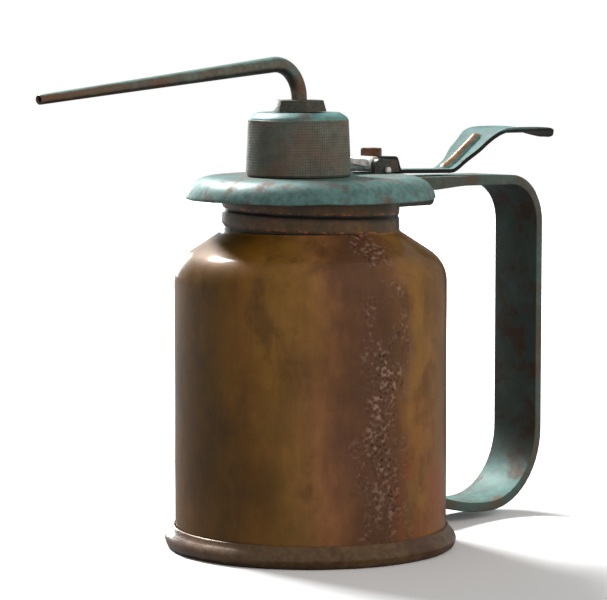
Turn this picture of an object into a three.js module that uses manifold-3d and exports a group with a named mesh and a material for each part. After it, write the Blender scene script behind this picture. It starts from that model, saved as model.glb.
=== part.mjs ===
// Handy oiler can: a one-pint pump oiler with a screw-on pump head, a strap handle,
// a thumb lever and a long bent spout.
// Millimetres, +Z up. The origin is the centre of the base; +X points to the handle.

import * as THREE from 'three';
import { mergeVertices } from 'three/addons/utils/BufferGeometryUtils.js';
import Module from 'manifold-3d';

const wasm = await Module();
wasm.setup();

// ---------------------------------------------------------------- driving sizes

const GAP = 0.3; // left between two touching pieces
const FINE = 44; // sides of the large round pieces
const COARSE = 24; // sides of the small round pieces

// can
const BODY_R = 42.0;
const BODY_H = 82.2; // straight wall, from the ground
const WALL = 0.8;
const BASE_T = 1.2;
const BAND_H = 6.8;
const BAND_OUT = 3.3; // how far the base band stands out from the wall
const SHOULDER_R = 11.3;
const SHOULDER_SLOPE = THREE.MathUtils.degToRad(33);
const NECK_R = 27.3;
const NECK_H = 14.6;
const THREAD_OUT = 1.0;
const THREAD_PITCH = 5.5;

// screw cap
const SHEET = 1.2;
const FLANGE_OVER = 8.3; // how far the flange's rim stands out past the collar
const FLANGE_ROLL = 8.9; // width of the rounded edge outside the flat top
const FLANGE_DROP = 7.4;
const COLLAR_WALL = 1.3;
const COLLAR_H = 6.7;
const THREAD_CLEAR = 0.6;
const GASKET_T = 1.0;

// strap handle
const STRAP_W = 18.0;
const STRAP_T = 3.1;
const HAND_ROOM = 56.5; // from the can's wall to the inside of the upright bar
const STRAP_BELOW_FLANGE = 2.1;
const STRAP_FALL = 1.1; // how much lower the top bar is at its outer end
const STRAP_TOP_R = 16.0;
const STRAP_LOW_R = 25.0;
const STRAP_CURL_R = 77.0;
const STRAP_GROUND = 2.5;
const STRAP_END_CLEAR = 2.7; // from the base band to the free end
const STRAP_END_R = 5.0;
const BRACKET_T = 1.6;
const BRACKET_OVER = 10.0; // how far the bracket stands out past the flange
const BRACKET_DEPTH = 6.2; // from the strap's underside to the bracket's plate

// pump head
const PUMP_X = -5.1;
const HEAD_R = 16.5;
const HEAD_TOP_R = 15.4;
const HEAD_CHAMFER = 2.8;
const HEAD_H = 18.7;
const HEAD_WALL = 3.4;
const HEAD_ROOF = 1.8;
const BOSS_WALL = 2.2;
const NUT_R = 8.7;
const NUT_TOP_R = 7.7;
const NUT_H = 3.5;
const NIPPLE_R = 4.5;

// pump
const BARREL_R = 7.5;
const BARREL_WALL = 0.8;
const BARREL_FOOT = 14.3;
const TUBE_R = 1.9;
const TUBE_BORE = 1.1;
const PISTON_FOOT = 60.0; // height of the piston at rest
const BALL_R = 1.2;
const FOOT_BALL_R = 2.4;
const SPRING_R = 4.3;
const SPRING_WIRE = 0.55;
const SPRING_TURNS = 9;

// lever
const PIVOT_INSET = 5.6; // from the edge of the flange's flat top back to the pivot
const PIVOT_UP = 2.3; // above the flange
const PIN_R = 0.9;
const PIN_CLEAR = 0.25;
const SCREW_AHEAD = 3.4; // from the pivot to the screw
const BEND_PAST = 21.5; // from the flange's rim to the bend where the lever rises
const KNUCKLE_R = 1.95;
const ARM_HALF = 4.8;
const ARM_T = 2.2;
const NOSE_UP = 10.1; // top of the fork's nose above the flange
const NOSE_R = 1.6;
const EAR_T = 1.8;
const LEVER_T = 1.3;
const PAD_HALF = 8.3;
const PAD_PAST = 11.4; // how far the thumb pad reaches past the upright bar
const SCREW_R = 3.5;
const SCREW_H = 2.1;
const SCREW_SHANK_R = 1.1;

// spout
const SPOUT_R = 2.4;
const SPOUT_BORE = 1.6;
const SPOUT_TIP_R = 1.45;
const SPOUT_BEND = 10.5;
const SPOUT_REACH = 104.7; // from the pump's axis to the tip
const SPOUT_FALL = THREE.MathUtils.degToRad(5.4);

// ---------------------------------------------------------------- levels that follow

const BODY_IN = BODY_R - WALL;
const wallFoot = BASE_T + GAP;
const slopeFrom = new THREE.Vector2(
  BODY_R - SHOULDER_R * (1 - Math.sin(SHOULDER_SLOPE)),
  BODY_H + SHOULDER_R * Math.cos(SHOULDER_SLOPE),
);
const neckFoot = slopeFrom.y + (slopeFrom.x - NECK_R) * Math.tan(SHOULDER_SLOPE);
const neckTop = neckFoot + NECK_H;
const gasketFoot = neckTop + GAP;
const sheetFoot = gasketFoot + GASKET_T + GAP;
const flangeTop = sheetFoot + SHEET;
const rimFoot = flangeTop - FLANGE_DROP;
const collarIn = NECK_R + THREAD_OUT + THREAD_CLEAR;
const collarOut = collarIn + COLLAR_WALL;
const flangeR = collarOut + FLANGE_OVER;
const flatR = flangeR - FLANGE_ROLL;
const strapTop = flangeTop - STRAP_BELOW_FLANGE;
const strapReach = BODY_R + HAND_ROOM + STRAP_T;
const strapEndX = BODY_R + BAND_OUT + STRAP_END_CLEAR;
const bracketX = flangeR + BRACKET_OVER;
const padEnd = strapReach + PAD_PAST;
const pivotX = flatR - PIVOT_INSET;
const screwX = pivotX + SCREW_AHEAD;
const rootEnd = flatR + 3.4;
const bendX = flangeR + BEND_PAST;
const headFoot = flangeTop + GAP;
const headTop = headFoot + HEAD_H;
const cavityR = HEAD_TOP_R - HEAD_WALL;
const roofFoot = headTop - HEAD_ROOF;
const nutFoot = headTop + GAP;
const nutTop = nutFoot + NUT_H;
const bossFoot = sheetFoot - GAP - 1.5;
const bossTop = headFoot + 1.5;
const barrelTop = sheetFoot - 0.1;
const barrelIn = BARREL_R - BARREL_WALL;
const bossR = BARREL_R + GAP + BOSS_WALL;
const pivotZ = flangeTop + PIVOT_UP;
const noseZ = flangeTop + NOSE_UP;
const nippleFoot = noseZ + 2.3;
const spoutFoot = nutFoot + 0.8;
const nutLip = 1.0;
const pistonIn = BALL_R + 0.6;

// ---------------------------------------------------------------- solids

/** Merges a closed geometry's vertices, drops flat faces and turns the faces outward. */
function closed(geometry) {
  const bare = geometry.clone();
  bare.deleteAttribute('normal');
  bare.deleteAttribute('uv');
  const merged = mergeVertices(bare, 1e-4);
  const at = merged.getAttribute('position');
  const corners = merged.getIndex().array;
  const kept = [];
  const [a, b, c] = [new THREE.Vector3(), new THREE.Vector3(), new THREE.Vector3()];
  let volume = 0;
  for (let i = 0; i < corners.length; i += 3) {
    const [p, q, r] = [corners[i], corners[i + 1], corners[i + 2]];
    if (p === q || q === r || r === p) continue;
    kept.push([p, q, r]);
    a.fromBufferAttribute(at, p);
    b.fromBufferAttribute(at, q);
    c.fromBufferAttribute(at, r);
    volume += a.dot(b.cross(c));
  }
  const turned = volume < 0 ? kept.map(([p, q, r]) => [p, r, q]) : kept;
  const result = new THREE.BufferGeometry();
  result.setAttribute('position', at.clone());
  result.setIndex(turned.flat());
  return result;
}

/** A geometry as a solid for cutting and joining. */
function toSolid(geometry) {
  const ready = closed(geometry);
  return new wasm.Manifold(new wasm.Mesh({
    numProp: 3,
    vertProperties: new Float32Array(ready.getAttribute('position').array),
    triVerts: new Uint32Array(ready.getIndex().array),
  }));
}

/** A cut solid as a geometry again. */
function toGeometry(solid) {
  const mesh = solid.getMesh();
  const result = new THREE.BufferGeometry();
  result.setAttribute('position', new THREE.BufferAttribute(mesh.vertProperties, 3));
  result.setIndex(Array.from(mesh.triVerts));
  return result;
}

/** The first geometry without the others. */
function cut(geometry, ...tools) {
  return toGeometry(tools.reduce((solid, tool) => solid.subtract(toSolid(tool)), toSolid(geometry)));
}

/** All geometries as one. */
function join(geometry, ...others) {
  return toGeometry(others.reduce((solid, other) => solid.add(toSolid(other)), toSolid(geometry)));
}

/** What two geometries share. */
function shared(geometry, other) {
  return toGeometry(toSolid(geometry).intersect(toSolid(other)));
}

/** Turns a profile of [radius, height] points round a vertical axis at x. */
function turned(points, sides = COARSE, x = 0) {
  const profile = points.map(([r, z]) => new THREE.Vector2(r, z));
  const onAxis = points[0][0] === 0 && points.at(-1)[0] === 0;
  if (!onAxis) profile.push(profile[0].clone());
  return new THREE.LatheGeometry(profile, sides).rotateX(Math.PI / 2).translate(x, 0, 0);
}

/** A plain ring or tube between two radii and two heights. */
function ring(inner, outer, foot, top, sides = COARSE, x = 0) {
  return turned([[inner, foot], [outer, foot], [outer, top], [inner, top]], sides, x);
}

/** A box between two corners. */
function block(x0, x1, y0, y1, z0, z1) {
  return new THREE.BoxGeometry(x1 - x0, y1 - y0, z1 - z0)
    .translate((x0 + x1) / 2, (y0 + y1) / 2, (z0 + z1) / 2);
}

/** An upright cylinder. */
function post(x, y, radius, foot, top, sides = COARSE) {
  return new THREE.CylinderGeometry(radius, radius, top - foot, sides)
    .rotateX(Math.PI / 2)
    .translate(x, y, (foot + top) / 2);
}

/** A cylinder lying along Y. */
function crossBar(x, z, radius, y0, y1, sides = COARSE) {
  return new THREE.CylinderGeometry(radius, radius, y1 - y0, sides).translate(x, (y0 + y1) / 2, z);
}

/** A side outline (x, z) given a width along Y, centred on the middle plane. */
function sideways(shape, width, curveSegments = 10) {
  return new THREE.ExtrudeGeometry(shape, { depth: width, bevelEnabled: false, curveSegments })
    .rotateX(Math.PI / 2)
    .translate(0, width / 2, 0);
}

/** A plan outline (x, y) raised between two heights. */
function upward(shape, foot, top, curveSegments = 8) {
  return new THREE.ExtrudeGeometry(shape, { depth: top - foot, bevelEnabled: false, curveSegments })
    .translate(0, 0, foot);
}

/** A strip of even thickness along a line of [x, z] points, as an outline. */
function strip(points, thickness) {
  const line = points.map(([x, z]) => new THREE.Vector2(x, z));
  const normals = line.map((point, i) => {
    const before = line[Math.max(i - 1, 0)];
    const after = line[Math.min(i + 1, line.length - 1)];
    const into = point.clone().sub(before).normalize();
    const out = after.clone().sub(point).normalize();
    const along = into.add(out).normalize();
    const edge = i === 0 ? out.angle() : point.clone().sub(before).angle();
    const stretch = Math.cos(along.angle() - edge);
    return new THREE.Vector2(-along.y, along.x).divideScalar(stretch);
  });
  const upper = line.map((point, i) => point.clone().addScaledVector(normals[i], thickness / 2));
  const lower = line.map((point, i) => point.clone().addScaledVector(normals[i], -thickness / 2));
  return new THREE.Shape([...upper, ...lower.reverse()]);
}

// ---------------------------------------------------------------- can

/** The shoulder's outline from the wall to the neck, moved inward by a wall. */
function shoulder(inset) {
  const radius = SHOULDER_R - inset;
  const points = [];
  const sweep = Math.PI / 2 - SHOULDER_SLOPE;
  for (let i = 0; i <= 6; i += 1) {
    const angle = (sweep * i) / 6;
    const r = BODY_R - SHOULDER_R + radius * Math.cos(angle);
    points.push([r, BODY_H + radius * Math.sin(angle)]);
  }
  const drop = inset / Math.cos(SHOULDER_SLOPE) - inset * Math.tan(SHOULDER_SLOPE);
  points.push([NECK_R - inset, neckFoot - drop]);
  return points;
}

function canBody() {
  const bead = (z) => [-1, -0.5, 0, 0.5, 1].map(
    (t) => [NECK_R + THREAD_OUT * (1 - t * t), z + t * 1.5],
  );
  const outside = [
    [BODY_R, wallFoot],
    ...shoulder(0),
    ...bead(neckFoot + 2.6),
    ...bead(neckFoot + 2.6 + THREAD_PITCH),
    [NECK_R, neckTop],
  ];
  const inside = [[BODY_IN, wallFoot], ...shoulder(WALL), [NECK_R - WALL, neckTop]];
  return turned([...outside, ...inside.reverse()], FINE);
}

function baseBand() {
  const inner = BODY_R + GAP;
  const outer = BODY_R + BAND_OUT;
  return turned([
    [inner, 0], [outer - 1.4, 0], [outer - 0.3, 1.1], [outer, 2.6], [outer - 0.4, 4.2],
    [outer - 1.5, 5.6], [inner + 0.7, 6.5], [inner, BAND_H],
  ], FINE);
}

const baseDisc = () => post(0, 0, BODY_R, 0, BASE_T, FINE);

// ---------------------------------------------------------------- screw cap

function flangeCap() {
  const dome = new THREE.QuadraticBezierCurve(
    new THREE.Vector2(flatR, flangeTop),
    new THREE.Vector2(flangeR - 2.9, flangeTop - 1.2),
    new THREE.Vector2(flangeR, rimFoot),
  );
  const under = new THREE.QuadraticBezierCurve(
    new THREE.Vector2(flatR - 0.4, sheetFoot),
    new THREE.Vector2(flangeR - 2.9 - 0.7, sheetFoot - 1.1),
    new THREE.Vector2(flangeR - SHEET, rimFoot),
  );
  const profile = [
    [0, flangeTop],
    ...dome.getPoints(6).map((p) => [p.x, p.y]),
    ...under.getPoints(6).reverse().map((p) => [p.x, p.y]),
    [0, sheetFoot],
  ];
  const half = STRAP_W / 2 + GAP;
  return cut(
    turned(profile, FINE),
    post(PUMP_X, 0, bossR + GAP, sheetFoot - 2, flangeTop + 2),
    block(collarOut - 1, flangeR + 2, -half, half, rimFoot - 2, strapTop + GAP),
  );
}

const capCollar = () => ring(collarIn, collarOut, rimFoot - 0.8, rimFoot - 0.8 + COLLAR_H, FINE);
const capGasket = () => ring(NECK_R - 1.3, NECK_R + 0.7, gasketFoot, gasketFoot + GASKET_T, FINE);

// ---------------------------------------------------------------- strap handle

function strapHandle() {
  const rootX = collarOut + GAP;
  const cornerX = strapReach - STRAP_TOP_R;
  const topEnd = strapTop - STRAP_FALL;
  const lowX = strapReach - STRAP_LOW_R;
  const lowZ = STRAP_GROUND + STRAP_LOW_R;
  const curlZ = STRAP_GROUND + STRAP_CURL_R;
  const curl = Math.asin((lowX - strapEndX) / STRAP_CURL_R);
  const down = -Math.PI / 2;
  const outline = new THREE.Shape();
  outline.moveTo(rootX, strapTop);
  outline.lineTo(cornerX, topEnd);
  outline.absarc(cornerX, topEnd - STRAP_TOP_R, STRAP_TOP_R, Math.PI / 2, 0, true);
  outline.lineTo(strapReach, lowZ);
  outline.absarc(lowX, lowZ, STRAP_LOW_R, 0, down, true);
  outline.absarc(lowX, curlZ, STRAP_CURL_R, down, down - curl, true);
  outline.absarc(lowX, curlZ, STRAP_CURL_R - STRAP_T, down - curl, down, false);
  outline.absarc(lowX, lowZ, STRAP_LOW_R - STRAP_T, down, 0, false);
  outline.lineTo(strapReach - STRAP_T, topEnd - STRAP_TOP_R);
  outline.absarc(cornerX, topEnd - STRAP_TOP_R, STRAP_TOP_R - STRAP_T, 0, Math.PI / 2, false);
  outline.lineTo(rootX, strapTop - STRAP_T);
  outline.closePath();
  const half = STRAP_W / 2;
  const endX = strapEndX - 2;
  const corners = [-1, 1].map((side) => {
    const y0 = side * (half - STRAP_END_R);
    const y1 = side * (half + 1);
    const tool = block(
      endX, strapEndX + STRAP_END_R, Math.min(y0, y1), Math.max(y0, y1), -1, 20,
    );
    return cut(tool, post(strapEndX + STRAP_END_R, y0, STRAP_END_R, -2, 21));
  });
  return cut(sideways(outline, STRAP_W, 9), ...corners);
}

function handleBracket() {
  const strapFoot = strapTop - STRAP_T;
  const plateFoot = strapFoot - BRACKET_DEPTH;
  const legX = collarOut + GAP;
  const outline = new THREE.Shape([
    new THREE.Vector2(legX, plateFoot),
    new THREE.Vector2(bracketX - 1.2, plateFoot),
    new THREE.Vector2(bracketX, plateFoot + 1.2),
    new THREE.Vector2(bracketX, strapFoot - GAP - STRAP_FALL),
    new THREE.Vector2(bracketX - BRACKET_T, strapFoot - GAP - STRAP_FALL),
    new THREE.Vector2(bracketX - BRACKET_T, plateFoot + BRACKET_T),
    new THREE.Vector2(legX + BRACKET_T, plateFoot + BRACKET_T),
    new THREE.Vector2(legX + BRACKET_T, strapFoot - GAP),
    new THREE.Vector2(legX, strapFoot - GAP),
  ]);
  return sideways(outline, STRAP_W - 2);
}

// ---------------------------------------------------------------- lever

function hingeBracket() {
  const foot = headFoot;
  const top = pivotZ + KNUCKLE_R;
  const nose = 2.9;
  const farX = rootEnd + 0.5;
  const ear = new THREE.Shape();
  ear.moveTo(farX, foot);
  ear.lineTo(farX - 0.3, top);
  ear.lineTo(pivotX, top);
  ear.absarc(pivotX, top - nose, nose, Math.PI / 2, Math.PI, false);
  ear.lineTo(pivotX - nose, foot);
  ear.closePath();
  const near = ARM_HALF + GAP;
  const ears = [-1, 1].map((side) => sideways(ear, EAR_T, 6).translate(0, side * (near + EAR_T / 2), 0));
  const web = block(farX - 4.9, farX - 1.1, -near - 1, near + 1, foot, foot + 1.0);
  return cut(join(ears[0], ears[1], web), crossBar(pivotX, pivotZ, PIN_R + PIN_CLEAR, -20, 20, 16));
}

function pivotPin() {
  const half = ARM_HALF + GAP + EAR_T;
  return join(
    crossBar(pivotX, pivotZ, PIN_R, -half - 1.2, half + 1.0, 16),
    crossBar(pivotX, pivotZ, PIN_R + 0.6, half + GAP, half + 1.1, 16),
  );
}

function pinKeeper() {
  const near = -(ARM_HALF + GAP + EAR_T + 1.2 + GAP);
  const outline = new THREE.Shape();
  outline.moveTo(pivotX + 2.2, headFoot);
  outline.lineTo(pivotX + 3.9, headFoot);
  outline.lineTo(pivotX + 3.9, headFoot + 1.7);
  outline.absarc(pivotX + 3.05, headFoot + 1.7, 0.85, 0, Math.PI, false);
  outline.closePath();
  return sideways(outline, 1.4, 6).translate(0, near - 0.7, 0);
}

function pumpArm() {
  const noseCentre = noseZ - NOSE_R;
  const top = noseCentre + 0.2;
  const foot = top - ARM_T;
  const seatTop = pivotZ + 0.8;
  const side = new THREE.Shape([
    new THREE.Vector2(PUMP_X - 2.3, foot),
    new THREE.Vector2(PUMP_X + 7.1, foot),
    new THREE.Vector2(pivotX - 13.0, pivotZ + 1.0),
    new THREE.Vector2(pivotX - 1.6, pivotZ - 0.9),
    new THREE.Vector2(pivotX, pivotZ - 0.6),
    new THREE.Vector2(rootEnd - 1.4, pivotZ - 0.6),
    new THREE.Vector2(rootEnd - 1.4, seatTop),
    new THREE.Vector2(pivotX, seatTop),
    new THREE.Vector2(pivotX - 1.2, pivotZ + 1.5),
    new THREE.Vector2(pivotX - 10.5, pivotZ + 2.3),
    new THREE.Vector2(PUMP_X + 11, top),
    new THREE.Vector2(PUMP_X - 2.3, top),
  ]);
  const reach = 2 * (ARM_HALF + 1);
  const slotHalf = TUBE_R + 0.5;
  return cut(
    join(
      sideways(side, 2 * ARM_HALF),
      crossBar(pivotX, pivotZ, KNUCKLE_R, -ARM_HALF, ARM_HALF),
      crossBar(PUMP_X, noseCentre, NOSE_R, -ARM_HALF, ARM_HALF, 16),
    ),
    block(PUMP_X - 10, PUMP_X + 4.1, -slotHalf, slotHalf, foot - 3, noseZ + 3),
    crossBar(pivotX, pivotZ, PIN_R + PIN_CLEAR, -reach, reach, 16),
    post(screwX, 0, SCREW_SHANK_R + GAP, pivotZ - 3, pivotZ + 4, 12),
  );
}

function thumbLever() {
  const rootZ = pivotZ + 0.8 + GAP + LEVER_T / 2;
  const liftOff = strapTop + 0.7;
  const side = strip([
    [pivotX + 2.4, rootZ], [rootEnd, rootZ], [rootEnd + 2.1, flangeTop - 0.5],
    [bendX, liftOff - 0.3], [bendX + 2.8, liftOff + 0.1], [bendX + 7.9, liftOff + 2.9],
    [bendX + 19.6, liftOff + 10.1], [bendX + 24.3, liftOff + 12.2], [bendX + 30, liftOff + 12.6],
    [padEnd - 9, liftOff + 12.5], [padEnd - 3, liftOff + 11.5], [padEnd, liftOff + 10.1],
  ], LEVER_T);
  const half = (y) => [
    [pivotX, y * ARM_HALF], [rootEnd + 1, y * ARM_HALF], [flangeR + 7.5, y * 4.0],
    [bendX + 5, y * 4.1], [bendX + 14, y * 6.6], [bendX + 21, y * PAD_HALF],
  ].map(([px, py]) => new THREE.Vector2(px, py));
  const corner = 6.0;
  const plan = new THREE.Shape(half(-1));
  plan.lineTo(padEnd - corner, -PAD_HALF);
  plan.absarc(padEnd - corner, corner - PAD_HALF, corner, -Math.PI / 2, 0, false);
  plan.absarc(padEnd - corner, PAD_HALF - corner, corner, 0, Math.PI / 2, false);
  half(1).reverse().forEach((point) => plan.lineTo(point.x, point.y));
  plan.closePath();
  return cut(
    shared(sideways(side, 4 * PAD_HALF), upward(plan, 90, 2 * flangeTop)),
    post(screwX, 0, SCREW_SHANK_R + GAP, pivotZ - 3, pivotZ + 4, 12),
  );
}

function leverScrew() {
  const seat = pivotZ + 0.8 + GAP + LEVER_T + GAP;
  return join(
    post(screwX, 0, SCREW_R, seat, seat + SCREW_H, 6),
    post(screwX, 0, SCREW_SHANK_R, pivotZ - 0.5, seat + 1, 12),
  );
}

// ---------------------------------------------------------------- pump head

function knurledHead() {
  const slotHalf = ARM_HALF + 0.4;
  const shell = turned([
    [bossR + GAP, headFoot], [HEAD_R, headFoot], [HEAD_TOP_R, headTop - 2],
    [HEAD_TOP_R - HEAD_CHAMFER, headTop], [NIPPLE_R + GAP, headTop], [NIPPLE_R + GAP, roofFoot],
    [cavityR, roofFoot], [cavityR, bossTop + 2.2], [bossR + GAP, bossTop + 2.2],
  ], FINE, PUMP_X);
  return cut(
    shell,
    block(PUMP_X + 4, PUMP_X + HEAD_R + 2, -slotHalf, slotHalf, headFoot - 1, noseZ - 0.3),
  );
}

function pumpBoss() {
  const bore = BARREL_R + GAP;
  return turned([
    [bore, bossFoot], [bossR + 2.5, bossFoot], [bossR + 2.5, sheetFoot - GAP],
    [bossR, sheetFoot - GAP], [bossR, bossTop], [bore, bossTop],
  ], COARSE, PUMP_X);
}

function outletNipple() {
  const bore = TUBE_R + GAP;
  return turned([
    [bore, nippleFoot + 1.8], [NIPPLE_R - 1, nippleFoot + 1.8], [NIPPLE_R - 1, nippleFoot],
    [NIPPLE_R, nippleFoot], [NIPPLE_R, roofFoot - GAP - 1.5], [NIPPLE_R + 2.5, roofFoot - GAP - 1.5],
    [NIPPLE_R + 2.5, roofFoot - GAP], [NIPPLE_R, roofFoot - GAP], [NIPPLE_R, spoutFoot - GAP],
    [bore, spoutFoot - GAP],
  ], COARSE, PUMP_X);
}

const outletPacking = () => ring(
  TUBE_R + GAP, NIPPLE_R - 1 - GAP, nippleFoot + 0.3, nippleFoot + 1.5, COARSE, PUMP_X,
);

function spoutNut() {
  const hex = new THREE.CylinderGeometry(NUT_TOP_R, NUT_R, NUT_H, 6, 1, false, Math.PI / 6)
    .rotateX(Math.PI / 2)
    .translate(PUMP_X, 0, (nutFoot + nutTop) / 2);
  return cut(
    hex,
    post(PUMP_X, 0, NIPPLE_R + GAP, nutFoot - 1, nutTop - nutLip),
    post(PUMP_X, 0, SPOUT_R + GAP, nutFoot - 1, nutTop + 1),
  );
}

// ---------------------------------------------------------------- spout

/** The spout's centre line: up the pump's axis, round one bend, then gently down. */
class SpoutLine extends THREE.Curve {
  constructor() {
    super();
    const sweep = Math.PI / 2 + SPOUT_FALL;
    this.rise = nutTop + 0.6 - spoutFoot;
    this.round = SPOUT_BEND * sweep;
    this.out = (SPOUT_REACH - SPOUT_BEND * (1 - Math.cos(sweep))) / Math.cos(SPOUT_FALL);
    this.total = this.rise + this.round + this.out;
  }

  getPoint(t, target = new THREE.Vector3()) {
    const run = t * this.total;
    const bendRun = Math.min(Math.max(run - this.rise, 0), this.round);
    const outRun = Math.max(run - this.rise - this.round, 0);
    const angle = bendRun / SPOUT_BEND;
    const x = PUMP_X - SPOUT_BEND * (1 - Math.cos(angle)) - outRun * Math.cos(SPOUT_FALL);
    const z = spoutFoot + Math.min(run, this.rise) + SPOUT_BEND * Math.sin(angle)
      - outRun * Math.sin(SPOUT_FALL);
    return target.set(x, 0, z);
  }
}

function spoutTube() {
  const line = new SpoutLine();
  const section = new THREE.Shape().absarc(0, 0, SPOUT_R, 0, 2 * Math.PI);
  section.holes.push(new THREE.Path().absarc(0, 0, SPOUT_BORE, 0, 2 * Math.PI, true));
  const tube = new THREE.ExtrudeGeometry(section, {
    steps: 32, bevelEnabled: false, extrudePath: line, curveSegments: 5,
  });
  const samples = Array.from({ length: 401 }, (_, i) => line.getPoint(i / 400));
  const taperFrom = (line.rise + line.round) / line.total;
  const at = tube.getAttribute('position');
  const point = new THREE.Vector3();
  for (let i = 0; i < at.count; i += 1) {
    point.fromBufferAttribute(at, i);
    let best = 0;
    samples.forEach((sample, k) => {
      if (point.distanceToSquared(sample) < point.distanceToSquared(samples[best])) best = k;
    });
    const along = Math.max((best / 400 - taperFrom) / (1 - taperFrom), 0);
    const scale = THREE.MathUtils.lerp(1, SPOUT_TIP_R / SPOUT_R, along);
    point.lerp(samples[best], 1 - scale);
    at.setXYZ(i, point.x, point.y, point.z);
  }
  return closed(tube);
}

const spoutFerrule = () => ring(
  SPOUT_R + GAP, NIPPLE_R, spoutFoot, nutTop - nutLip - GAP, COARSE, PUMP_X,
);

// ---------------------------------------------------------------- pump

const pumpBarrel = () => ring(barrelIn, BARREL_R, BARREL_FOOT, barrelTop, COARSE, PUMP_X);

function barrelCap() {
  const foot = barrelTop - 10.5;
  const top = barrelTop - 0.3;
  return turned([
    [TUBE_R + GAP, foot], [barrelIn - GAP, foot], [barrelIn - GAP, top], [TUBE_R + 2.6, top],
    [TUBE_R + 2.6, foot + 4.5], [TUBE_R + GAP, foot + 4.5],
  ], COARSE, PUMP_X);
}

const glandPacking = () => ring(
  TUBE_R + GAP, TUBE_R + 2.3, barrelTop - 5.7, barrelTop - 3.7, COARSE, PUMP_X,
);
const glandNut = () => ring(
  TUBE_R + GAP, TUBE_R + 2.3, barrelTop - 3.4, barrelTop - 0.3, COARSE, PUMP_X,
);

function plungerTube() {
  const foot = PISTON_FOOT + 7.3;
  return cut(
    ring(TUBE_BORE, TUBE_R, foot, spoutFoot - 2 * GAP, 16, PUMP_X),
    crossBar(PUMP_X, PISTON_FOOT + 13, 0.5, -4, 4, 8),
  );
}

const plungerCollar = () => ring(TUBE_R + GAP, 4.6, noseZ + GAP, noseZ + GAP + 1.6, COARSE, PUMP_X);

function piston() {
  const foot = PISTON_FOOT;
  return turned([
    [BALL_R - 0.3, foot], [3.6, foot], [3.6, foot + 6.5], [barrelIn - 0.4, foot + 6.5],
    [barrelIn - 0.4, foot + 11], [TUBE_R + GAP, foot + 11], [TUBE_R + GAP, foot + 7],
    [pistonIn, foot + 7], [pistonIn, foot + 2.1], [BALL_R - 0.3, foot + 1.2],
  ], COARSE, PUMP_X);
}

function leatherCup() {
  const foot = PISTON_FOOT + 2;
  return turned([
    [3.9, foot + 3], [barrelIn - 1.1, foot + 3], [barrelIn - 1.1, foot], [barrelIn - GAP, foot],
    [barrelIn - GAP, foot + 4.2], [3.9, foot + 4.2],
  ], COARSE, PUMP_X);
}

const pistonNut = () => ring(3.9, 5.2, PISTON_FOOT + 2.2, PISTON_FOOT + 4.7, COARSE, PUMP_X);

/** A ball resting in a 45 degree seat that opens upward from a small hole. */
function seatedBall(radius, hole, seatFoot) {
  const centre = seatFoot - hole + Math.SQRT2 * (radius + 0.15);
  return new THREE.SphereGeometry(radius, 14, 10).rotateX(Math.PI / 2).translate(PUMP_X, 0, centre);
}

const deliveryBall = () => seatedBall(BALL_R, BALL_R - 0.3, PISTON_FOOT + 1.2);
const footBall = () => seatedBall(FOOT_BALL_R, FOOT_BALL_R - 0.8, BARREL_FOOT - 0.8);

/** The return spring's centre line. */
class Coil extends THREE.Curve {
  constructor(radius, foot, top, turns) {
    super();
    Object.assign(this, { radius, foot, top, turns });
  }

  getPoint(t, target = new THREE.Vector3()) {
    const angle = 2 * Math.PI * this.turns * t;
    const z = THREE.MathUtils.lerp(this.foot, this.top, t);
    return target.set(PUMP_X + this.radius * Math.cos(angle), this.radius * Math.sin(angle), z);
  }
}

function returnSpring() {
  const foot = PISTON_FOOT + 11 + GAP + SPRING_WIRE;
  const top = barrelTop - 10.5 - GAP - SPRING_WIRE;
  const wire = new THREE.Shape().absarc(0, 0, SPRING_WIRE, 0, 2 * Math.PI);
  return new THREE.ExtrudeGeometry(wire, {
    steps: SPRING_TURNS * 12,
    bevelEnabled: false,
    curveSegments: 3,
    extrudePath: new Coil(SPRING_R, foot, top, SPRING_TURNS),
  });
}

function footValve() {
  const hole = FOOT_BALL_R - 0.8;
  const chamber = FOOT_BALL_R + 0.8;
  const foot = BARREL_FOOT - 2.3;
  return turned([
    [hole, foot], [BARREL_R, foot], [BARREL_R, BARREL_FOOT - GAP], [barrelIn - GAP, BARREL_FOOT - GAP],
    [barrelIn - GAP, BARREL_FOOT + 5.7], [chamber, BARREL_FOOT + 5.7],
    [chamber, BARREL_FOOT - 0.8 + chamber - hole], [hole, BARREL_FOOT - 0.8],
  ], COARSE, PUMP_X);
}

const ballStop = () => ring(1.2, barrelIn - GAP, BARREL_FOOT + 6, BARREL_FOOT + 7.2, COARSE, PUMP_X);

function strainer() {
  const top = BARREL_FOOT - 2.3 - GAP;
  const foot = top - 5.7;
  const cup = turned([
    [0, foot], [BARREL_R - 0.3, foot], [BARREL_R - 0.3, top], [BARREL_R - 1, top],
    [BARREL_R - 1, foot + 0.7], [0, foot + 0.7],
  ], COARSE, PUMP_X);
  const holes = [0, 1, 2].map((k) => crossBar(0, (foot + top) / 2 + 0.3, 1.1, -20, 20, 8)
    .rotateZ((k * Math.PI) / 3)
    .translate(PUMP_X, 0, 0));
  return cut(cup, ...holes);
}

// ---------------------------------------------------------------- assembly

const LOOKS = {
  copper: { color: '#7a5230', roughness: 0.42, metalness: 0.85 },
  teal: { color: '#5f8078', roughness: 0.55, metalness: 0.5 },
  darkSteel: { color: '#3f3a35', roughness: 0.5, metalness: 0.8 },
  steel: { color: '#8d8a84', roughness: 0.4, metalness: 0.9 },
  rust: { color: '#5b3b28', roughness: 0.7, metalness: 0.5 },
  brass: { color: '#9a7c45', roughness: 0.4, metalness: 0.9 },
  leather: { color: '#4a2f1e', roughness: 0.85, metalness: 0 },
  rubber: { color: '#23211f', roughness: 0.9, metalness: 0 },
};

/** One named piece. */
function piece(name, geometry, look) {
  const mesh = new THREE.Mesh(geometry, new THREE.MeshStandardMaterial(LOOKS[look]));
  mesh.name = name;
  return mesh;
}

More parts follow.
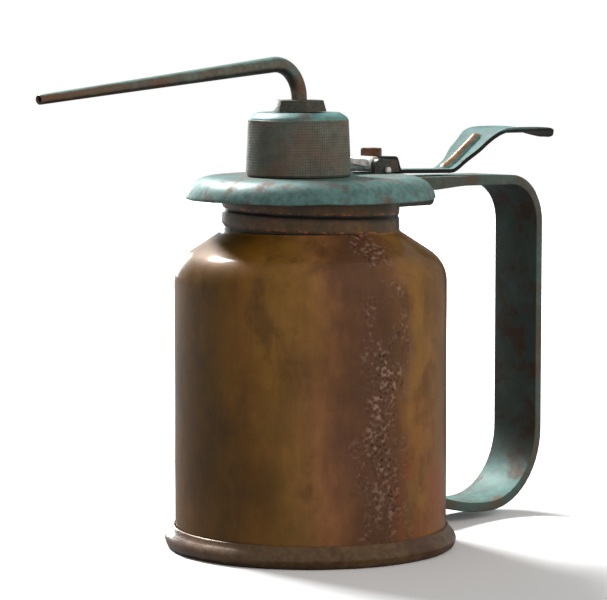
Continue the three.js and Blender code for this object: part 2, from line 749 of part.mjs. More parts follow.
function canPieces() {
  return [
    piece('can_body', canBody(), 'copper'),
    piece('base_disc', baseDisc(), 'copper'),
    piece('base_band', baseBand(), 'copper'),
  ];
}

function capPieces() {
  return [
    piece('cap_gasket', capGasket(), 'rubber'),
    piece('flange_cap', flangeCap(), 'teal'),
    piece('cap_collar', capCollar(), 'darkSteel'),
    piece('strap_handle', strapHandle(), 'teal'),
    piece('handle_bracket', handleBracket(), 'darkSteel'),
    piece('hinge_bracket', hingeBracket(), 'darkSteel'),
    piece('pivot_pin', pivotPin(), 'steel'),
    piece('pin_keeper', pinKeeper(), 'steel'),
  ];
}

function headPieces() {
  return [
    piece('knurled_head', knurledHead(), 'darkSteel'),
    piece('pump_boss', pumpBoss(), 'brass'),
    piece('outlet_nipple', outletNipple(), 'brass'),
    piece('outlet_packing', outletPacking(), 'leather'),
    piece('spout_nut', spoutNut(), 'darkSteel'),
  ];
}

function leverPieces() {
  return [
    piece('thumb_lever', thumbLever(), 'teal'),
    piece('pump_arm', pumpArm(), 'steel'),
    piece('lever_screw', leverScrew(), 'rust'),
  ];
}

function pumpPieces() {
  return [
    piece('pump_barrel', pumpBarrel(), 'brass'),
    piece('barrel_cap', barrelCap(), 'brass'),
    piece('gland_packing', glandPacking(), 'leather'),
    piece('gland_nut', glandNut(), 'brass'),
    piece('plunger_tube', plungerTube(), 'steel'),
    piece('plunger_collar', plungerCollar(), 'steel'),
    piece('piston', piston(), 'brass'),
    piece('leather_cup', leatherCup(), 'leather'),
    piece('piston_nut', pistonNut(), 'brass'),
    piece('delivery_ball', deliveryBall(), 'steel'),
    piece('return_spring', returnSpring(), 'steel'),
    piece('foot_valve', footValve(), 'brass'),
    piece('foot_ball', footBall(), 'steel'),
    piece('ball_stop', ballStop(), 'brass'),
    piece('strainer', strainer(), 'brass'),
  ];
}

function spoutPieces() {
  return [
    piece('spout_tube', spoutTube(), 'darkSteel'),
    piece('spout_ferrule', spoutFerrule(), 'brass'),
  ];
}

const oiler = new THREE.Group();
[canPieces, capPieces, headPieces, leverPieces, pumpPieces, spoutPieces]
  .forEach((make) => oiler.add(...make()));

export default oiler;
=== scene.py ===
"""Visual model of a handy oiler can: a pint can with a screw-on pump head, strap handle,
thumb lever and long bent spout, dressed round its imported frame. Metres, +Z up, +X to the handle."""

import logging
import math
from collections.abc import Callable, Iterator
from contextlib import contextmanager
from dataclasses import dataclass, field
from enum import Enum

import bmesh
import bpy
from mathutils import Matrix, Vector, noise


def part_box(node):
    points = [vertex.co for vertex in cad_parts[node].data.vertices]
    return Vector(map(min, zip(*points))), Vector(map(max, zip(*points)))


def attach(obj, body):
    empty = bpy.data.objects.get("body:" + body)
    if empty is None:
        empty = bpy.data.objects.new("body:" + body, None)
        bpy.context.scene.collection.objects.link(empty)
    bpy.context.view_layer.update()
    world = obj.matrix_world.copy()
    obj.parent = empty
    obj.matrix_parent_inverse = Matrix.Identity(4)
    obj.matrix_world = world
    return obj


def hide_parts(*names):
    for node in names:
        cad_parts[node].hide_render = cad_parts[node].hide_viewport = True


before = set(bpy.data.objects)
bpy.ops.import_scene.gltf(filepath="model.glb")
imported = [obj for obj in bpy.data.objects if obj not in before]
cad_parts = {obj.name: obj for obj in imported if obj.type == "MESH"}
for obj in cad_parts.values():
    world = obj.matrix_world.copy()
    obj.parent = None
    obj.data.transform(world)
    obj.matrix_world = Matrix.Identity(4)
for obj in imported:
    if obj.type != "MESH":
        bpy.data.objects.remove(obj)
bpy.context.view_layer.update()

MM = 0.001
FULL_TURN = 2 * math.pi
ACROSS = (math.pi / 2, 0, 0)  # turns an upright rod to lie along Y
WELD = 2e-6  # points nearer than this are one

# Sizes that more than one piece needs, in millimetres
NECK_HEIGHT = 14.6  # the threaded neck, from the shoulder to the lip
THREAD_PITCH = 5.5
THREAD_START = 3.9  # from the neck's foot to where the thread crosses +X
CAP_SINK = 0.6  # how far the flange's flat top lies under its CAD node's
PIN_RADIUS = 1.1
PIN_BORE = 1.15
SCREW_BORE = 1.4

log = logging.getLogger("oiler")

Piece = bpy.types.Object
Tree = bpy.types.NodeTree
Node = bpy.types.Node
Socket = bpy.types.NodeSocket
Layers = dict[str, Socket]
Triple = tuple[float, float, float]
Point = tuple[float, float]
Profile = list[Point]
Rule = Callable[[Vector], Vector]
Test = Callable[[Vector, Vector], bool]


class Body(Enum):
    """The bodies that pieces ride on."""

    CAN = "can"
    CAP = "cap"
    LEVER = "lever"
    SPOUT = "spout"


class Slot(Enum):
    """The finishes that the record names."""

    COPPER = "copper"
    TEAL = "teal"
    DARK_STEEL = "darkSteel"
    STEEL = "steel"
    RUST = "rust"
    BRASS = "brass"
    LEATHER = "leather"
    RUBBER = "rubber"


# ---------------------------------------------------------------- bench work


def tint(code: str) -> tuple[float, ...]:
    """A hexadecimal display colour as linear red, green, blue and alpha."""
    shares = [int(code[i:i + 2], 16) / 255 for i in (0, 2, 4)]
    linear = [s / 12.92 if s <= 0.04045 else ((s + 0.055) / 1.055) ** 2.4 for s in shares]
    return (*linear, 1.0)


def ease(value: float) -> float:
    """A smooth step from 0 to 1."""
    t = min(max(value, 0.0), 1.0)
    return t * t * (3 - 2 * t)


def clear_selection() -> None:
    """Leaves edit mode and deselects everything."""
    if bpy.context.object and bpy.context.object.mode != "OBJECT":
        bpy.ops.object.mode_set(mode="OBJECT")
    bpy.ops.object.select_all(action="DESELECT")


def only(piece: Piece) -> None:
    """Makes this the one selected and active piece."""
    clear_selection()
    piece.select_set(True)
    bpy.context.view_layer.objects.active = piece


@contextmanager
def editing(piece: Piece, kind: str = "FACE") -> Iterator[None]:
    """Holds a piece open in edit mode.

    Args:
        piece: The piece to work on.
        kind: What is selected: VERT, EDGE or FACE.
    """
    only(piece)
    bpy.ops.object.mode_set(mode="EDIT")
    bpy.ops.mesh.select_mode(type=kind)
    yield
    bpy.ops.object.mode_set(mode="OBJECT")


def open_whole(kind: str) -> None:
    """Opens the active piece in edit mode with all of it selected."""
    bpy.ops.object.mode_set(mode="EDIT")
    bpy.ops.mesh.select_mode(type=kind)
    bpy.ops.mesh.select_all(action="SELECT")


def face_outward(piece: Piece) -> None:
    """Turns a piece's faces outward."""
    with editing(piece):
        bpy.ops.mesh.select_all(action="SELECT")
        bpy.ops.mesh.normals_make_consistent(inside=False)


def settle(name: str) -> Piece:
    """Names the new primitive and puts its place into its mesh."""
    piece = bpy.context.object
    piece.name = name
    piece.data.name = name
    bpy.ops.object.transform_apply(location=True, rotation=True, scale=True)
    return piece


def start_box(name: str, low: Vector, high: Vector) -> Piece:
    """A cube primitive stretched between two corners."""
    clear_selection()
    bpy.ops.mesh.primitive_cube_add(size=1, location=(low + high) / 2)
    bpy.context.object.scale = high - low
    return settle(name)


def start_rod(name: str, foot: Vector, length: float, radius: float, sides: int = 32,
              turn: Triple = (0, 0, 0), top: float | None = None) -> Piece:
    """A cylinder or cone primitive.

    Args:
        name: Its name.
        foot: The middle of its length.
        length: How long it is.
        radius: Its radius at the foot.
        sides: How many sides it has.
        turn: Its rotation.
        top: Its radius at the top, where that differs.
    Returns:
        The new piece.
    """
    clear_selection()
    bpy.ops.mesh.primitive_cone_add(
        vertices=sides, radius1=radius, radius2=radius if top is None else top,
        depth=length, location=foot, rotation=turn)
    return settle(name)


def pick_faces(piece: Piece, wanted: Test) -> None:
    """Selects the faces whose middle and normal pass the test."""
    bpy.ops.mesh.select_all(action="DESELECT")
    mesh = bmesh.from_edit_mesh(piece.data)
    for face in mesh.faces:
        if wanted(face.calc_center_median(), face.normal):
            face.select_set(True)
    bmesh.update_edit_mesh(piece.data)


def pick_edges(piece: Piece, wanted: Test) -> None:
    """Selects the edges whose middle and direction pass the test."""
    bpy.ops.mesh.select_all(action="DESELECT")
    mesh = bmesh.from_edit_mesh(piece.data)
    for edge in mesh.edges:
        a, b = edge.verts[0].co, edge.verts[1].co
        if wanted((a + b) / 2, (b - a).normalized()):
            edge.select_set(True)
    bmesh.update_edit_mesh(piece.data)


def apply_modifier(piece: Piece, kind: str, **settings: object) -> None:
    """Adds a modifier with these settings and applies it."""
    only(piece)
    modifier = piece.modifiers.new(kind.title(), kind)
    for name, value in settings.items():
        setattr(modifier, name, value)
    bpy.ops.object.modifier_apply(modifier=modifier.name)


def soften(piece: Piece, width: float, segments: int = 2, angle: float = 35.0) -> None:
    """Rounds the edges that are sharper than an angle in degrees."""
    apply_modifier(piece, "BEVEL", width=width, segments=segments, limit_method="ANGLE",
                   angle_limit=math.radians(angle), use_clamp_overlap=True)


def carve(piece: Piece, tool: Piece) -> None:
    """Cuts the tool out of the piece and removes the tool."""
    apply_modifier(piece, "BOOLEAN", operation="DIFFERENCE", object=tool, solver="EXACT")
    bpy.data.objects.remove(tool)


def unite(piece: Piece, other: Piece) -> None:
    """Makes the other part of the piece."""
    apply_modifier(piece, "BOOLEAN", operation="UNION", object=other, solver="EXACT")
    bpy.data.objects.remove(other)


def smooth(piece: Piece, angle: float = 32.0) -> None:
    """Smooth shading up to an angle in degrees."""
    only(piece)
    bpy.ops.object.shade_smooth_by_angle(angle=math.radians(angle))


def press(piece: Piece, rule: Rule) -> None:
    """Moves each point of the mesh by a rule."""
    for vertex in piece.data.vertices:
        vertex.co = rule(vertex.co)
    piece.data.update()


def draw_line(name: str, points: list[Vector]) -> Piece:
    """A line of edges, extruded point by point, and left open in edit mode."""
    clear_selection()
    bpy.ops.mesh.primitive_plane_add(size=MM, location=points[0])
    piece = settle(name)
    open_whole("VERT")
    bpy.ops.mesh.merge(type="CENTER")
    for before, after in zip(points, points[1:]):
        bpy.ops.mesh.extrude_vertices_move(TRANSFORM_OT_translate={"value": after - before})
    bpy.ops.mesh.select_all(action="SELECT")
    bpy.ops.mesh.remove_doubles(threshold=WELD)
    return piece


def close_skin(piece: Piece) -> None:
    """Merges doubles and turns the faces outward, then leaves edit mode."""
    bpy.ops.mesh.select_all(action="SELECT")
    bpy.ops.mesh.remove_doubles(threshold=WELD)
    bpy.ops.mesh.normals_make_consistent(inside=False)
    bpy.ops.object.mode_set(mode="OBJECT")


def turn_piece(name: str, profile: Profile, sides: int = 160, axis: float = 0.0) -> Piece:
    """Spins a profile round an upright axis.

    Args:
        name: The piece's name.
        profile: Points (radius, height) in millimetres; a profile that leaves the axis is closed.
        sides: Steps of the spin.
        axis: Where the axis stands on X, in metres.
    Returns:
        The closed piece.
    """
    outline = list(profile)
    if outline[0][0] > 0 or outline[-1][0] > 0:
        outline.append(outline[0])
    piece = draw_line(name, [Vector((axis + r * MM, 0, z * MM)) for r, z in outline])
    bpy.ops.mesh.spin(steps=sides, angle=FULL_TURN, center=(axis, 0, 0), axis=(0, 0, 1))
    close_skin(piece)
    return piece


def cut_plate(name: str, outline: Profile, low: float, high: float) -> Piece:
    """A plate from a side outline.

    Args:
        name: The piece's name.
        outline: Points (x, z) in millimetres.
        low: Its near side on Y in metres.
        high: Its far side on Y in metres.
    Returns:
        The closed plate.
    """
    points = [Vector((x * MM, low, z * MM)) for x, z in [*outline, outline[0]]]
    piece = draw_line(name, points)
    bpy.ops.mesh.edge_face_add()
    bpy.ops.mesh.select_mode(type="FACE")
    bpy.ops.mesh.select_all(action="SELECT")
    bpy.ops.mesh.extrude_region_move(TRANSFORM_OT_translate={"value": (0, high - low, 0)})
    close_skin(piece)
    return piece


def arc(cx: float, cz: float, radius: float, start: float, end: float, steps: int = 8) -> Profile:
    """Points round an arc, with angles in degrees."""
    angles = [math.radians(start + (end - start) * i / steps) for i in range(steps + 1)]
    return [(cx + radius * math.cos(a), cz + radius * math.sin(a)) for a in angles]


def curve(a: Point, b: Point, c: Point, steps: int = 10) -> Profile:
    """Points along a curve from a to c that leans to b."""
    shares = [i / steps for i in range(steps + 1)]
    return [tuple((1 - t) ** 2 * a[k] + 2 * t * (1 - t) * b[k] + t * t * c[k] for k in (0, 1))
            for t in shares]


def rise(low: float, high: float, steps: int) -> list[float]:
    """Even steps from low to high, both included."""
    return [low + (high - low) * i / steps for i in range(steps + 1)]


def copy_piece(piece: Piece, name: str) -> Piece:
    """A copy with its own mesh."""
    twin = piece.copy()
    twin.data = piece.data.copy()
    twin.name = name
    bpy.context.collection.objects.link(twin)
    return twin


def mirror_over_middle(piece: Piece) -> None:
    """Moves a piece to the other side of the middle plane."""
    press(piece, lambda at: Vector((at.x, -at.y, at.z)))
    face_outward(piece)


@dataclass
class Sweep:
    """A section drawn along the middle plane in straight runs and bends."""

    piece: Piece
    place: Vector
    heading: float

    @property
    def ahead(self) -> Vector:
        """The direction of travel."""
        return Vector((math.cos(self.heading), 0, math.sin(self.heading)))

    def run(self, length: float, steps: int = 1, shrink: float = 1.0) -> None:
        """Goes straight on.

        Args:
            length: How far, in metres.
            steps: Extrusions on the way.
            shrink: The section's size at the end as a share of its size now.
        """
        step = self.ahead * (length / steps)
        share = shrink ** (1 / steps)
        for _ in range(steps):
            bpy.ops.mesh.extrude_region_move(TRANSFORM_OT_translate={"value": step})
            self.place = self.place + step
            if shrink != 1.0:
                bpy.ops.transform.resize(value=(share,) * 3, center_override=self.place)

    def bend(self, radius: float, degrees: float, steps: int = 8) -> None:
        """Turns upward for a positive angle and downward for a negative one."""
        angle = math.radians(degrees)
        side = 1 if angle > 0 else -1
        normal = Vector((-math.sin(self.heading), 0, math.cos(self.heading)))
        centre = self.place + normal * (radius * side)
        bpy.ops.mesh.spin(steps=steps, angle=abs(angle), center=centre, axis=(0, side, 0))
        self.heading += angle
        normal = Vector((-math.sin(self.heading), 0, math.cos(self.heading)))
        self.place = centre - normal * (radius * side)


def start_strip(name: str, place: Vector, degrees: float, width: float, thickness: float) -> Sweep:
    """A flat strip's section, ready to be drawn along.

    Args:
        name: The piece's name.
        place: The middle of the section.
        degrees: The heading above +X.
        width: Its width along Y.
        thickness: Its thickness.
    Returns:
        The sweep, open in edit mode.
    """
    clear_selection()
    heading = math.radians(degrees)
    bpy.ops.mesh.primitive_plane_add(size=1, location=place, rotation=(0, math.pi / 2 - heading, 0))
    bpy.context.object.scale = (thickness, width, 1)
    piece = settle(name)
    open_whole("FACE")
    return Sweep(piece, place, heading)


# ---------------------------------------------------------------- shader groups


class Group:
    """A shader group with named sockets."""

    def __init__(self, name: str) -> None:
        """Starts an empty group."""
        self.tree = bpy.data.node_groups.new(name, "ShaderNodeTree")
        self.entry = self.tree.nodes.new("NodeGroupInput")
        self.exit = self.tree.nodes.new("NodeGroupOutput")

    def takes(self, name: str, kind: str, default: object = None) -> Socket:
        """Adds an input and returns its socket inside the group."""
        socket = self.tree.interface.new_socket(name, in_out="INPUT", socket_type=kind)
        if default is not None:
            socket.default_value = default
        return self.entry.outputs[name]

    def gives(self, name: str, kind: str, source: Socket) -> None:
        """Adds an output fed by this socket."""
        self.tree.interface.new_socket(name, in_out="OUTPUT", socket_type=kind)
        self.tree.links.new(source, self.exit.inputs[name])


PIT_WARP = 1.8 * MM
FLOAT = "NodeSocketFloat"
VECTOR = "NodeSocketVector"


def put(tree: Tree, kind: str, feeds: dict[str | int, object] | None = None,
        **settings: object) -> Node:
    """Places a node.

    Args:
        tree: The tree it goes in.
        kind: Its type.
        feeds: For each input, a value or the socket that feeds it.
        **settings: Properties of the node.
    Returns:
        The new node.
    """
    node = tree.nodes.new(kind)
    for name, value in settings.items():
        setattr(node, name, value)
    for name, value in (feeds or {}).items():
        if isinstance(value, Socket):
            tree.links.new(value, node.inputs[name])
        else:
            node.inputs[name].default_value = value
    return node


def maths(tree: Tree, operation: str, *values: object) -> Socket:
    """A maths node's result."""
    return put(tree, "ShaderNodeMath", dict(enumerate(values)), operation=operation).outputs[0]


def times(tree: Tree, a: object, b: object) -> Socket:
    """Two values multiplied."""
    return maths(tree, "MULTIPLY", a, b)


def either_way(tree: Tree, value: object, reach: float) -> Socket:
    """A share from 0 to 1 as a swing from minus half the reach to plus half."""
    return maths(tree, "MULTIPLY_ADD", value, reach, -reach / 2)


def dot(tree: Tree, a: object, b: object) -> Socket:
    """How far one vector goes along another."""
    return put(tree, "ShaderNodeVectorMath", {0: a, 1: b}, operation="DOT_PRODUCT").outputs["Value"]


def axis_of(tree: Tree, vector: object, axis: str) -> Socket:
    """A vector's share along X, Y or Z."""
    return put(tree, "ShaderNodeSeparateXYZ", {0: vector}).outputs[axis]


def skin_way(tree: Tree) -> Socket:
    """The way that the skin faces."""
    return put(tree, "ShaderNodeNewGeometry").outputs["Normal"]


def grey(tree: Tree, value: Socket) -> Socket:
    """A value as a grey."""
    return put(tree, "ShaderNodeCombineColor", {0: value, 1: value, 2: value}).outputs[0]


def ramp(tree: Tree, value: object, low: object, high: object,
         to_low: object = 0.0, to_high: object = 1.0) -> Socket:
    """A value eased from one range to another."""
    return put(tree, "ShaderNodeMapRange", {
        "Value": value, "From Min": low, "From Max": high, "To Min": to_low, "To Max": to_high,
    }, interpolation_type="SMOOTHSTEP").outputs["Result"]


def blend_colours(tree: Tree, share: object, a: object, b: object, mode: str = "MIX") -> Socket:
    """Two colours mixed by a share."""
    return put(tree, "ShaderNodeMix", {0: share, 6: a, 7: b}, data_type="RGBA",
               blend_type=mode).outputs[2]


def stain(tree: Tree, colour: Socket, mask: Socket, share: float, code: str) -> Socket:
    """A colour with a share of another laid over it where the mask says."""
    return blend_colours(tree, times(tree, mask, share), colour, tint(code))


def patches_group() -> Tree:
    """Soft irregular patches: a mask from stretched noise between two thresholds."""
    group = Group("Patches")
    at = group.takes("Vector", VECTOR)
    stretch = group.takes("Stretch", VECTOR, (1.0, 1.0, 1.0))
    scale = group.takes("Scale", FLOAT, 60.0)
    detail = group.takes("Detail", FLOAT, 4.0)
    low = group.takes("Low", FLOAT, 0.45)
    high = group.takes("High", FLOAT, 0.6)
    tree = group.tree
    placed = put(tree, "ShaderNodeVectorMath", {0: at, 1: stretch}, operation="MULTIPLY").outputs[0]
    cloud = put(tree, "ShaderNodeTexNoise", {
        "Vector": placed, "Scale": scale, "Detail": detail, "Roughness": 0.62, "Distortion": 0.12})
    group.gives("Mask", FLOAT, ramp(tree, cloud.outputs[0], low, high))
    group.gives("Field", FLOAT, cloud.outputs[0])
    return tree


def edge_group() -> Tree:
    """Worn edges, and hollows for dirt and painted shade, read from how the surface turns."""
    group = Group("Edge wear")
    at = group.takes("Vector", VECTOR)
    width = group.takes("Width", FLOAT, 0.6 * MM)
    reach = group.takes("Reach", FLOAT, 0.2)
    breakup = group.takes("Breakup", FLOAT, 220.0)
    tree = group.tree
    rounded = put(tree, "ShaderNodeBevel", {"Radius": width}, samples=4).outputs[0]
    plain = put(tree, "ShaderNodeNewGeometry")
    turn = maths(tree, "SUBTRACT", 1.0, dot(tree, rounded, plain.outputs["Normal"]))
    ragged = put(tree, "ShaderNodeTexNoise", {"Vector": at, "Scale": breakup, "Detail": 3.0})
    rim = times(tree, turn, ramp(tree, ragged.outputs[0], 0.3, 0.62, 0.25, 1.0))
    group.gives("Edge", FLOAT, ramp(tree, rim, 0.01, reach))
    group.gives("Hollow", FLOAT, ramp(tree, plain.outputs["Pointiness"], 0.497, 0.44))
    return tree


def grain_group() -> Tree:
    """Cast or beaten grain: fine noise over a slow swell, as a height."""
    group = Group("Grain")
    at = group.takes("Vector", VECTOR)
    fine = group.takes("Fine", FLOAT, 900.0)
    slow = group.takes("Slow", FLOAT, 110.0)
    share = group.takes("Slow share", FLOAT, 0.5)
    tree = group.tree
    small = put(tree, "ShaderNodeTexNoise", {"Vector": at, "Scale": fine, "Detail": 3.0})
    large = put(tree, "ShaderNodeTexNoise", {"Vector": at, "Scale": slow, "Detail": 2.0})
    rest = maths(tree, "SUBTRACT", 1.0, share)
    group.gives("Height", FLOAT, maths(tree, "ADD", times(tree, large.outputs[0], share),
                                       times(tree, small.outputs[0], rest)))
    return tree


def pits_group() -> Tree:
    """Corrosion pits: small irregular craters with a mask and a height."""
    group = Group("Pits")
    at = group.takes("Vector", VECTOR)
    scale = group.takes("Scale", FLOAT, 420.0)
    amount = group.takes("Amount", FLOAT, 1.0)
    tree = group.tree
    warp = put(tree, "ShaderNodeTexNoise", {"Vector": at, "Scale": 300.0, "Detail": 2.0})
    shift = put(tree, "ShaderNodeVectorMath", {0: warp.outputs[1], 3: PIT_WARP},
                operation="SCALE").outputs[0]
    moved = put(tree, "ShaderNodeVectorMath", {0: at, 1: shift}, operation="ADD").outputs[0]
    cells = put(tree, "ShaderNodeTexVoronoi", {"Vector": moved, "Scale": scale, "Randomness": 1.0},
                feature="SMOOTH_F1")
    speckle = put(tree, "ShaderNodeTexNoise", {"Vector": at, "Scale": scale, "Detail": 3.0})
    depth = maths(tree, "ADD", cells.outputs["Distance"], times(tree, speckle.outputs[0], 0.9))
    mask = times(tree, ramp(tree, depth, 0.78, 0.52), amount)
    ridge = times(tree, ramp(tree, depth, 0.92, 1.12), amount)
    group.gives("Mask", FLOAT, mask)
    group.gives("Ridge", FLOAT, ridge)
    group.gives("Height", FLOAT, maths(tree, "SUBTRACT", ridge, mask))
    return tree


GROUPS: dict[str, Tree] = {}


def build_groups() -> None:
    """Makes each shader group once."""
    makers = {"patches": patches_group, "edge": edge_group, "grain": grain_group, "pits": pits_group}
    for name, make in makers.items():
        GROUPS[name] = make()


# ---------------------------------------------------------------- finishes


@dataclass(frozen=True)
class Finish:
    """A weathered finish: patches of colour, smudges, dirt and painted shade in hollows, worn edges
    and grain.
    """

    name: str
    slot: Slot
    base: str
    second: str
    smudge: str
    # Colour for dirt and painted shade in hollows.
    grime_and_shade: str
    edge: str
    metallic: float = 0.5
    roughness: float = 0.45
    rough_more: float = 0.2
    patch_scale: float = 45.0
    smudge_scale: float = 110.0
    smudge_low: float = 0.56
    smudge_high: float = 0.66
    smudge_share: float = 0.8
    stretch: Triple = (1.0, 1.0, 1.0)
    edge_width: float = 0.6 * MM
    edge_share: float = 0.7
    hollow_share: float = 0.7
    grain_fine: float = 900.0
    grain_slow: float = 120.0
    bump: float = 0.25
    bump_depth: float = 0.3 * MM
    coat: float = 0.35
    coat_rough: float = 0.28
    specular: float = 0.5

    def lay(self, tree: Tree) -> Layers:
        """Builds the layers.

        Args:
            tree: The material's tree.
        Returns:
            The sockets named at, colour, rough, metal and height.
        """
        at = put(tree, "ShaderNodeTexCoord").outputs["Object"]
        patches = self.cloud(tree, at, self.patch_scale, 0.38, 0.64, 5.0, self.stretch)
        smudges = self.cloud(tree, at, self.smudge_scale, self.smudge_low, self.smudge_high, 6.0,
                             self.stretch)
        fine = self.cloud(tree, at, self.smudge_scale * 4, 0.35, 0.7)
        wear = self.group(tree, "edge", Vector=at, Width=self.edge_width)
        grain = self.group(tree, "grain", Vector=at, Fine=self.grain_fine, Slow=self.grain_slow)
        colour = blend_colours(tree, patches.outputs["Mask"], tint(self.base), tint(self.second))
        mottle = ramp(tree, fine.outputs["Field"], 0.3, 0.7, 0.72, 1.22)
        colour = blend_colours(tree, 1.0, colour, grey(tree, mottle), "MULTIPLY")
        smudge = times(tree, smudges.outputs["Mask"], self.smudge_share)
        colour = blend_colours(tree, smudge, colour, tint(self.smudge))
        # Dirt and painted shade in the hollows.
        colour = stain(tree, colour, wear.outputs["Hollow"], self.hollow_share, self.grime_and_shade)
        colour = stain(tree, colour, wear.outputs["Edge"], self.edge_share, self.edge)
        uneven = maths(tree, "ADD", smudge, fine.outputs["Field"])
        rough = ramp(tree, uneven, 0.3, 1.4, self.roughness, self.roughness + self.rough_more)
        metal = ramp(tree, smudge, 0.0, 1.0, self.metallic, self.metallic * 0.4)
        return {"at": at, "colour": colour, "rough": rough, "metal": metal,
                "height": grain.outputs["Height"]}

    def group(self, tree: Tree, key: str, **values: object) -> Node:
        """Places one of the shader groups with these values."""
        return put(tree, "ShaderNodeGroup", values, node_tree=GROUPS[key])

    def cloud(self, tree: Tree, at: Socket, scale: float, low: float, high: float,
              detail: float = 4.0, stretch: Triple = (1.0, 1.0, 1.0)) -> Node:
        """Places the group of soft patches.

        Args:
            tree: The material's tree.
            at: Where the noise is read.
            scale: The noise's scale.
            low: The noise under which the mask is 0.
            high: The noise over which the mask is 1.
            detail: The noise's detail.
            stretch: A share for each axis; the less it is, the longer the patches are drawn.
        Returns:
            The node, with its outputs Mask and Field.
        """
        return self.group(tree, "patches", Vector=at, Stretch=stretch, Scale=scale, Low=low,
                          High=high, Detail=detail)

    def material(self) -> bpy.types.Material:
        """The finished material."""
        made = bpy.data.materials.new(self.name)
        made.use_nodes = True
        tree = made.node_tree
        shader = tree.nodes["Principled BSDF"]
        layers = self.dress(tree, self.lay(tree))
        bump = put(tree, "ShaderNodeBump", {
            "Height": layers["height"], "Strength": self.bump, "Distance": self.bump_depth})
        feeds = {"Base Color": layers["colour"], "Roughness": layers["rough"],
                 "Metallic": layers["metal"], "Normal": bump.outputs["Normal"]}
        for name, source in feeds.items():
            tree.links.new(source, shader.inputs[name])
        shader.inputs["Coat Weight"].default_value = self.coat
        shader.inputs["Coat Roughness"].default_value = self.coat_rough
        shader.inputs["Specular IOR Level"].default_value = self.specular
        return made

    def dress(self, tree: Tree, layers: Layers) -> Layers:
        """Adds what only this finish has; a plain finish adds nothing."""
        return layers


